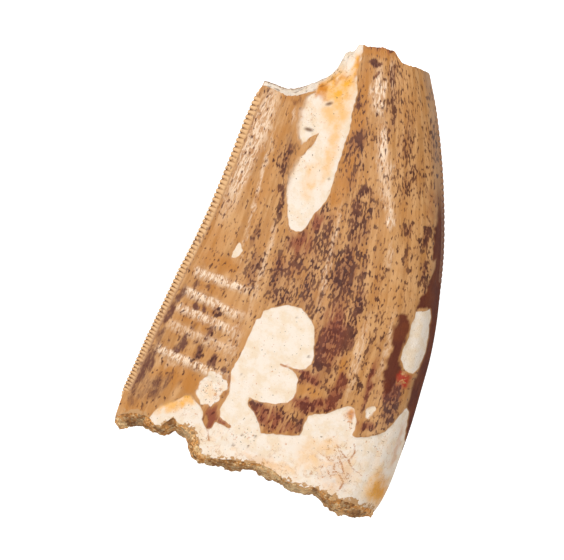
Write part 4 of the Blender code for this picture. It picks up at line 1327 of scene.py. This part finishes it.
@dataclass(frozen=True)
class CrownFinish:
    """Enamel and bare dentine of the crown."""

    mottle: bpy.types.NodeTree
    striae: bpy.types.NodeTree
    grit: bpy.types.NodeTree
    tan: Colour = paint(206, 156, 104)
    deep_tan: Colour = paint(180, 128, 76)
    ochre: Colour = paint(184, 118, 48)
    # pale paints sheen and highlights; shade is painted shade in the hollows of that sheen
    pale: Colour = paint(244, 218, 190)
    shade: Colour = paint(172, 116, 80)
    wash: Colour = paint(92, 50, 44)
    stain: Colour = paint(68, 34, 28)
    halo: Colour = paint(136, 84, 56)
    rust: Colour = paint(138, 72, 48)
    rust_stain: Colour = paint(88, 34, 22)
    chestnut: Colour = paint(106, 46, 20)
    red: Colour = paint(168, 46, 22)
    lip: Colour = paint(192, 138, 84)
    dentine: Colour = paint(238, 223, 206)
    cream: Colour = paint(233, 211, 183)
    yellow: Colour = paint(240, 170, 54)
    orange: Colour = paint(198, 116, 38)
    vein: Colour = paint(176, 106, 40)
    pink: Colour = paint(222, 190, 166)
    grey: Colour = paint(118, 100, 76)
    umber: Colour = paint(104, 68, 42)
    sand: Colour = paint(190, 146, 100)
    line_relief: float = 0.0001
    lump_relief: float = 0.00008
    specular: float = 0.2
    least_rough: float = 0.3
    grain_size: float = 0.3

    def enamel(self, wiring: Wiring, place: Feed, object_place: Feed) -> tuple[Feed, Feed]:
        """Colour and height of the enamel.

        Tan with lengthwise lines takes washes of ochre, pale tan and rust, then halos and specks of stain,
        then solid chestnut and red. The pale tan and the shade under it, laid on the crinkle, paint sheen
        and highlights on the left facet, the crest and the fold brows, partly also paler worn enamel. The
        height is that of the fine lines.

        Args:
            wiring: the material's nodes.
            place: places that follow the enamel.
            object_place: places in space, in millimetres.

        Returns:
            The colour and the height.
        """
        lines = wiring.group(self.striae, Vector=place)
        soft = wiring.cloud(object_place, 0.5, 3.0, 0.55)
        rust, stain, pale = (wiring.tone(name) for name in ("rust", "stain", "pale"))
        crinkle = wiring.cloud(wiring.stretched(place, (1.0, 0.3, 1.0)), 3.8, 2.0, 0.6, 0.8)
        silk = wiring.times_plus(crinkle, 0.6, wiring.times(lines.outputs["Height"], 0.4))
        wrinkled = wiring.rise(silk, 0.43, 0.56)
        streaked = wiring.times(wiring.tone("wash"), wiring.times_plus(silk, -2.6, 2.2))
        threads = wiring.cloud(wiring.stretched(place, (1.0, 0.16, 1.0)), 2.6, 2.0, 0.55)
        threaded = wiring.times(rust, wiring.rise(threads, 0.38, 0.54, 0.75))
        thinned = wiring.times(wiring.rise(threads, 0.5, 0.4, 0.22), rust)
        specks = wiring.group(self.mottle, Vector=place, Density=wiring.minus(stain, thinned))
        around = wiring.rise(stain, 0.12, 0.9, 0.6)
        depth = wiring.rise(wiring.cloud(place, 0.8, 2.0), 0.35, 0.65, 0.35)
        dark = wiring.blend(rust, self.stain, self.rust_stain)
        solid = wiring.blend(wiring.rise(soft, 0.3, 0.62), self.chestnut, self.rust_stain)
        round_specks = wiring.blend(rust, self.halo, self.rust)
        patchy = wiring.rise(wiring.cloud(object_place, 2.2, 3.0, 0.6), 0.38, 0.5)
        colour = wiring.coats(
            wiring.blend(lines.outputs["Tone"], self.deep_tan, self.tan),
            (wiring.rise(soft, 0.35, 0.7, 0.35), self.ochre),
            (wiring.times(wiring.tone("ochre"), 0.85), self.ochre),
            # painted shade in the hollows of the crinkle under the painted sheen
            (wiring.times(wiring.minus(1.0, wrinkled), wiring.times(pale, 0.35)), self.shade),
            # painted sheen and highlights on the crinkle's tops, partly also paler worn enamel
            (wiring.times(pale, wiring.times_plus(wrinkled, 0.82, 0.12)), self.pale),
            (wiring.rise(streaked, 0.1, 0.7, 0.9), self.wash),
            (wiring.times_plus(rust, 0.2, threaded), self.rust),
            (wiring.times_plus(specks.outputs["Halo"], 0.45, around), round_specks),
            (wiring.times(specks.outputs["Mask"], wiring.plus(depth, 0.55)), dark),
            (wiring.times(wiring.tone("chestnut"), 0.96), solid),
            (wiring.times(wiring.tone("red"), patchy), self.red),
        )
        return colour, lines.outputs["Height"]

    def bare(self, wiring: Wiring, object_place: Feed) -> tuple[Feed, Feed]:
        """Colour and height of the bare dentine.

        Cream takes washes of yellow, pink and orange, then veins where it is crazed, then sparse small
        specks of orange-brown and grey; on the broken ends brown streaks fill its pores.

        Args:
            wiring: the material's nodes.
            object_place: places in space, in millimetres.

        Returns:
            The colour and the height.
        """
        soft = wiring.cloud(object_place, 0.8, 4.0, 0.6)
        streaky = wiring.rise(soft, 0.3, 0.6)
        washes = [
            (wiring.times(wiring.tone(tone), wiring.times_plus(streaky, 0.4, least)), getattr(self, tone))
            for tone, least in (("yellow", 0.6), ("pink", 0.45), ("orange", 0.6))
        ]
        crazed, specks = wiring.tone("crazed"), wiring.tone("specks")
        wandering = wiring.cloud(object_place, 0.75, 4.0, 0.6, 0.5)
        off = wiring.sums("ABSOLUTE", wiring.minus(wandering, 0.5))
        veins = wiring.times(wiring.rise(off, 0.016, 0.004), wiring.rise(soft, 0.4, 0.55, 0.8))
        warm_level = wiring.times_plus(specks, -0.1, 0.71)
        cold_level = wiring.times_plus(specks, -0.08, 0.725)
        warm, cold = (
            wiring.rise(wiring.cloud(object_place, scale, 1.0, 0.5), level, wiring.plus(level, 0.05), most)
            for scale, level, most in ((3.0, warm_level, 0.5), (3.8, cold_level, 0.8))
        )
        pores = wiring.cloud(wiring.stretched(object_place, (1.2, 2.6, 2.2)), 1.1, 3.0, 0.6, 0.6)
        colour = wiring.coats(
            wiring.blend(wiring.rise(soft, 0.4, 0.66), self.dentine, self.cream),
            *washes,
            (wiring.times(crazed, wiring.rise(wandering, 0.46, 0.6, 0.28)), self.yellow),
            (wiring.times(crazed, veins), self.vein),
            (warm, self.orange),
            (cold, self.grey),
            (wiring.times(wiring.tone("broken"), wiring.rise(pores, 0.53, 0.66, 0.6)), self.umber),
        )
        return colour, wiring.cloud(object_place, 4.5, 4.0, 0.65)

    def build(self) -> bpy.types.Material:
        """Make the material.

        Returns:
            The material, with enamel and dentine parted by the tone that says where it is bare.
        """
        material, wiring, shader = new_material("enamel_and_dentine")
        place = wiring.node("Attribute", attribute_name="place").outputs["Vector"]
        object_place = wiring.millimetres()
        enamel, lines = self.enamel(wiring, place, object_place)
        dentine, lumps = self.bare(wiring, object_place)
        inside = wiring.tone("bare")
        bared = wiring.rise(inside, -0.05, 0.07)
        parted = wiring.rise(wiring.cloud(object_place, 1.6, 2.0, 0.5), 0.3, 0.55, 0.8)
        split = wiring.times(wiring.rise(wiring.tone("cracks"), 0.8, 0.97), parted)
        grit = wiring.group(self.grit, Vector=object_place, Size=self.grain_size)
        sandy = wiring.rise(wiring.times_plus(grit.outputs["Tone"], 0.6, wiring.tone("sand")), 0.75, 0.95)
        colour = wiring.coats(
            enamel,
            # darker tan lip round the bare patches; where the soft ovals widen it, along the upper patch's
            # left edge, it is painted soft shadow
            (wiring.times(wiring.rise(inside, -0.2, -0.06), 0.5), self.lip),
            (bared, dentine),
            (wiring.times(wiring.tone("marks"), 0.85), self.umber),
            (wiring.times(split, bared), self.vein),
            (sandy, self.sand),
        )
        wiring.feed(shader.inputs["Base Color"], colour)
        shader.inputs["Specular IOR Level"].default_value = self.specular
        dull = wiring.sums("MAXIMUM", wiring.sums("MAXIMUM", bared, sandy), wiring.tone("chestnut"))
        gloss = wiring.rise(lines, 0.3, 0.7, 0.14)
        rough = wiring.plus(wiring.rise(dull, 0.0, 1.0, 0.32), wiring.plus(gloss, self.least_rough))
        wiring.feed(shader.inputs["Roughness"], rough)
        fine = wiring.bump(lines, self.line_relief, wiring.minus(1.0, bared))
        wiring.feed(shader.inputs["Normal"], wiring.bump(lumps, self.lump_relief, bared, fine))
        return material


@dataclass(frozen=True)
class SawFinish:
    """Teeth of a saw edge: light on their backs, brown painted shade in the grooves, and darker where aged.
    """

    name: str
    mottle: bpy.types.NodeTree
    back: Colour = paint(230, 190, 142)
    side: Colour = paint(212, 160, 104)
    # gap is the painted shade in the grooves between the teeth
    gap: Colour = paint(112, 62, 28)
    root: Colour = paint(150, 100, 66)
    stain: Colour = paint(112, 72, 58)
    old: Colour = paint(132, 84, 64)
    old_from: float = 0.72
    specular: float = 0.3
    least_rough: float = 0.4

    def build(self) -> bpy.types.Material:
        """Make the material."""
        material, wiring, shader = new_material(self.name)
        place = wiring.node("Attribute", attribute_name="place").outputs["Vector"]
        turn, groove = wiring.tone("turn"), wiring.tone("groove")
        specks = wiring.group(self.mottle, Vector=place, Density=wiring.rise(turn, 0.4, 1.0, 0.4))
        inner = wiring.rise(turn, self.old_from - 0.3, self.old_from + 0.3, 0.75)
        colour = wiring.coats(
            wiring.blend(wiring.cloud(place, 1.4, 2.0), self.back, self.side),
            # painted shade: brown in the grooves between the teeth, deepest at their bottoms
            (wiring.rise(groove, 0.12, 0.6, 0.85), self.gap),
            (wiring.rise(turn, 0.6, 0.95), self.root),
            (wiring.times(specks.outputs["Mask"], 0.6), self.stain),
            (wiring.times(wiring.tone("aged"), inner), self.old),
        )
        wiring.feed(shader.inputs["Base Color"], colour)
        rough = wiring.plus(self.least_rough, wiring.rise(groove, 0.0, 1.0, 0.3))
        wiring.feed(shader.inputs["Roughness"], rough)
        shader.inputs["Specular IOR Level"].default_value = self.specular
        return material


@dataclass(frozen=True)
class SandstoneFinish:
    """Sandstone: packed grains from pale quartz to dark iron stain."""

    grit: bpy.types.NodeTree
    brown: Colour = paint(224, 158, 86)
    pale: Colour = paint(254, 222, 168)
    dark: Colour = paint(96, 58, 28)
    orange: Colour = paint(232, 154, 72)
    relief: float = 0.00012
    bump: float = 0.9
    roughness: float = 0.9
    fine_size: float = 0.26
    coarse_size: float = 0.62

    def build(self) -> bpy.types.Material:
        """Make the material."""
        material, wiring, shader = new_material("sandstone")
        place = wiring.millimetres()
        fine = wiring.group(self.grit, Vector=place, Size=self.fine_size).outputs
        coarse = wiring.group(self.grit, Vector=place, Size=self.coarse_size).outputs
        soft = wiring.rise(wiring.cloud(place, 0.7, 3.0, 0.6), 0.38, 0.66)
        colour = wiring.coats(
            wiring.blend(soft, self.brown, self.orange),
            (wiring.rise(fine["Tone"], 0.45, 0.95, 0.7), self.pale),
            (wiring.rise(fine["Tone"], 0.35, 0.0, 0.65), self.dark),
            (wiring.rise(coarse["Tone"], 0.3, 0.0, 0.6), self.dark),
            (wiring.rise(coarse["Tone"], 0.75, 0.95, 0.45), self.pale),
            (wiring.times(wiring.tone("light"), 0.6), self.pale),
            (wiring.times(wiring.tone("dark"), 0.7), self.dark),
            (wiring.times(fine["Gap"], 0.35), self.dark),
        )
        wiring.feed(shader.inputs["Base Color"], colour)
        shader.inputs["Roughness"].default_value = self.roughness
        height = wiring.plus(fine["Height"], wiring.times(coarse["Height"], 0.6))
        wiring.feed(shader.inputs["Normal"], wiring.bump(height, self.relief, self.bump))
        return material


@dataclass(frozen=True)
class FloorFinish:
    """White table that glows for the camera alone, so that it stays as white as paper under the tooth."""

    white: Colour = (0.5, 0.5, 0.5)
    glow: float = 1.0
    roughness: float = 0.8
    specular: float = 0.1

    def build(self) -> bpy.types.Material:
        """Make the material."""
        material, wiring, shader = new_material("white_table")
        shader.inputs["Base Color"].default_value = (*self.white, 1.0)
        shader.inputs["Roughness"].default_value = self.roughness
        shader.inputs["Specular IOR Level"].default_value = self.specular
        shader.inputs["Emission Color"].default_value = WHITE
        seen = wiring.node("LightPath").outputs["Is Camera Ray"]
        wiring.feed(shader.inputs["Emission Strength"], wiring.times(seen, self.glow))
        return material


class Lamp(NamedTuple):
    """A soft box: bearing in the photo's frame and elevation in degrees, metres away and wide, watts."""

    name: str
    bearing: float
    elevation: float
    away: float
    wide: float
    watts: float


@dataclass
class Studio:
    """Floor, lights and camera, placed as the photograph's frame needs. Sizes are in metres."""

    frame_width: float = 0.06486
    lens: float = 400.0
    sensor: float = 36.0
    outline_height: float = 0.0045
    middle: tuple[float, float] = (-0.0021, -0.0022)
    turn: float = 15.0
    floor_half: float = 0.5
    sky: float = 0.32
    far_clip: float = 10.0
    lamps: tuple[Lamp, ...] = (
        Lamp("key_light", 118, 48, 0.5, 0.22, 1.7),
        Lamp("side_light", 190, 34, 0.5, 0.18, 0.6),
        Lamp("fill_light", -30, 40, 0.5, 0.3, 1.0),
    )

    def camera(self) -> None:
        """Camera looking straight down, turned so that the tooth leans to the right."""
        data = bpy.data.cameras.new("camera")
        data.lens = self.lens
        data.sensor_width = self.sensor
        data.clip_end = self.far_clip
        camera = bpy.data.objects.new("camera", data)
        away = self.frame_width * self.lens / self.sensor
        camera.location = (*self.middle, self.outline_height + away)
        camera.rotation_euler = (0, 0, math.radians(self.turn))
        bpy.context.scene.collection.objects.link(camera)
        bpy.context.scene.camera = camera

    def light(self, lamp: Lamp) -> None:
        """Soft box aimed at the tooth, from its bearing and elevation on a sphere about it.

        Args:
            lamp: its name, place, size and power.
        """
        data = bpy.data.lights.new(lamp.name, "AREA")
        data.energy = lamp.watts
        data.size = lamp.wide
        light = bpy.data.objects.new(lamp.name, data)
        bearing = math.radians(lamp.bearing + self.turn)
        elevation = math.radians(lamp.elevation)
        level, up = lamp.away * math.cos(elevation), lamp.away * math.sin(elevation)
        light.location = (level * math.cos(bearing), level * math.sin(bearing), up)
        light.rotation_euler = (math.pi / 2 - elevation, 0, bearing + math.pi / 2)
        bpy.context.scene.collection.objects.link(light)

    def floor(self) -> None:
        """Flat table under the tooth, a grid of two rows by two."""
        line = np.linspace(-self.floor_half, self.floor_half, 3)
        x, y = np.meshgrid(line, line)
        points = np.stack((x, y, 0 * x), axis=-1).reshape(-1, 3)
        mesh = bpy.data.meshes.new("white_table")
        mesh.from_pydata(points, [], grid_faces(np.arange(9).reshape(3, 3)).tolist())
        mesh.materials.append(FloorFinish().build())
        table = bpy.data.objects.new("white_table", mesh)
        bpy.context.scene.collection.objects.link(table)

    def build(self) -> None:
        """Set everything up round the tooth."""
        world = bpy.data.worlds.new("soft_room")
        world.use_nodes = True
        background = world.node_tree.nodes["Background"]
        background.inputs["Color"].default_value = WHITE
        background.inputs["Strength"].default_value = self.sky
        bpy.context.scene.world = world
        bpy.context.scene.view_settings.view_transform = "Standard"
        self.camera()
        self.floor()
        for lamp in self.lamps:
            self.light(lamp)
            LOG.info("%s is up", lamp.name)


def main() -> None:
    """Build the tooth and its studio."""
    logging.basicConfig(level=logging.INFO, format="%(message)s")
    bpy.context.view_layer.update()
    mottle, striae, grit = make_mottle(), make_striae(), make_grit()
    crown = Crown()
    crown.build(CrownFinish(mottle, striae, grit).build())
    rear = SawEdge(
        name="rear_saw_edge", crown=crown, edge=REAR_EDGE, toward=-1, span=(-17.6, 21.3),
        pitch=((-18, 0.41), (-6, 0.45), (8, 0.555), (22, 0.58)),
        lean=((-18, 22), (-6, 20), (6, 14), (22, 3)),
        reach=0.36, root=1.0, relief=0.1, notch=0.5, fading=4, aged=(1.0, -7.0),
    )
    front = SawEdge(
        name="front_saw_edge", crown=crown, edge=FRONT_EDGE, toward=1, span=(0.5, 26.4),
        pitch=((0, 0.66), (27, 0.66)), lean=((0, 0), (27, 0)),
        reach=0.12, root=0.45, relief=0.035, notch=0.7, fading=9, aged=(17.0, 11.0),
    )
    worn = SawFinish(
        name="front_saw_enamel", mottle=mottle, back=paint(190, 138, 88), side=paint(170, 116, 70),
        gap=paint(96, 56, 32), root=paint(184, 130, 82), stain=paint(92, 50, 36), old=paint(106, 50, 24),
        old_from=-0.3,
    )
    for edge, finish in ((rear, SawFinish("rear_saw_enamel", mottle)), (front, worn)):
        edge.build(finish.build())
        LOG.info("%s is built", edge.name)
    Crust(crown).build(SandstoneFinish(grit).build())
    LOG.info("sandstone crust is built")
    Studio().build()


if __name__ == "__main__":
    main()
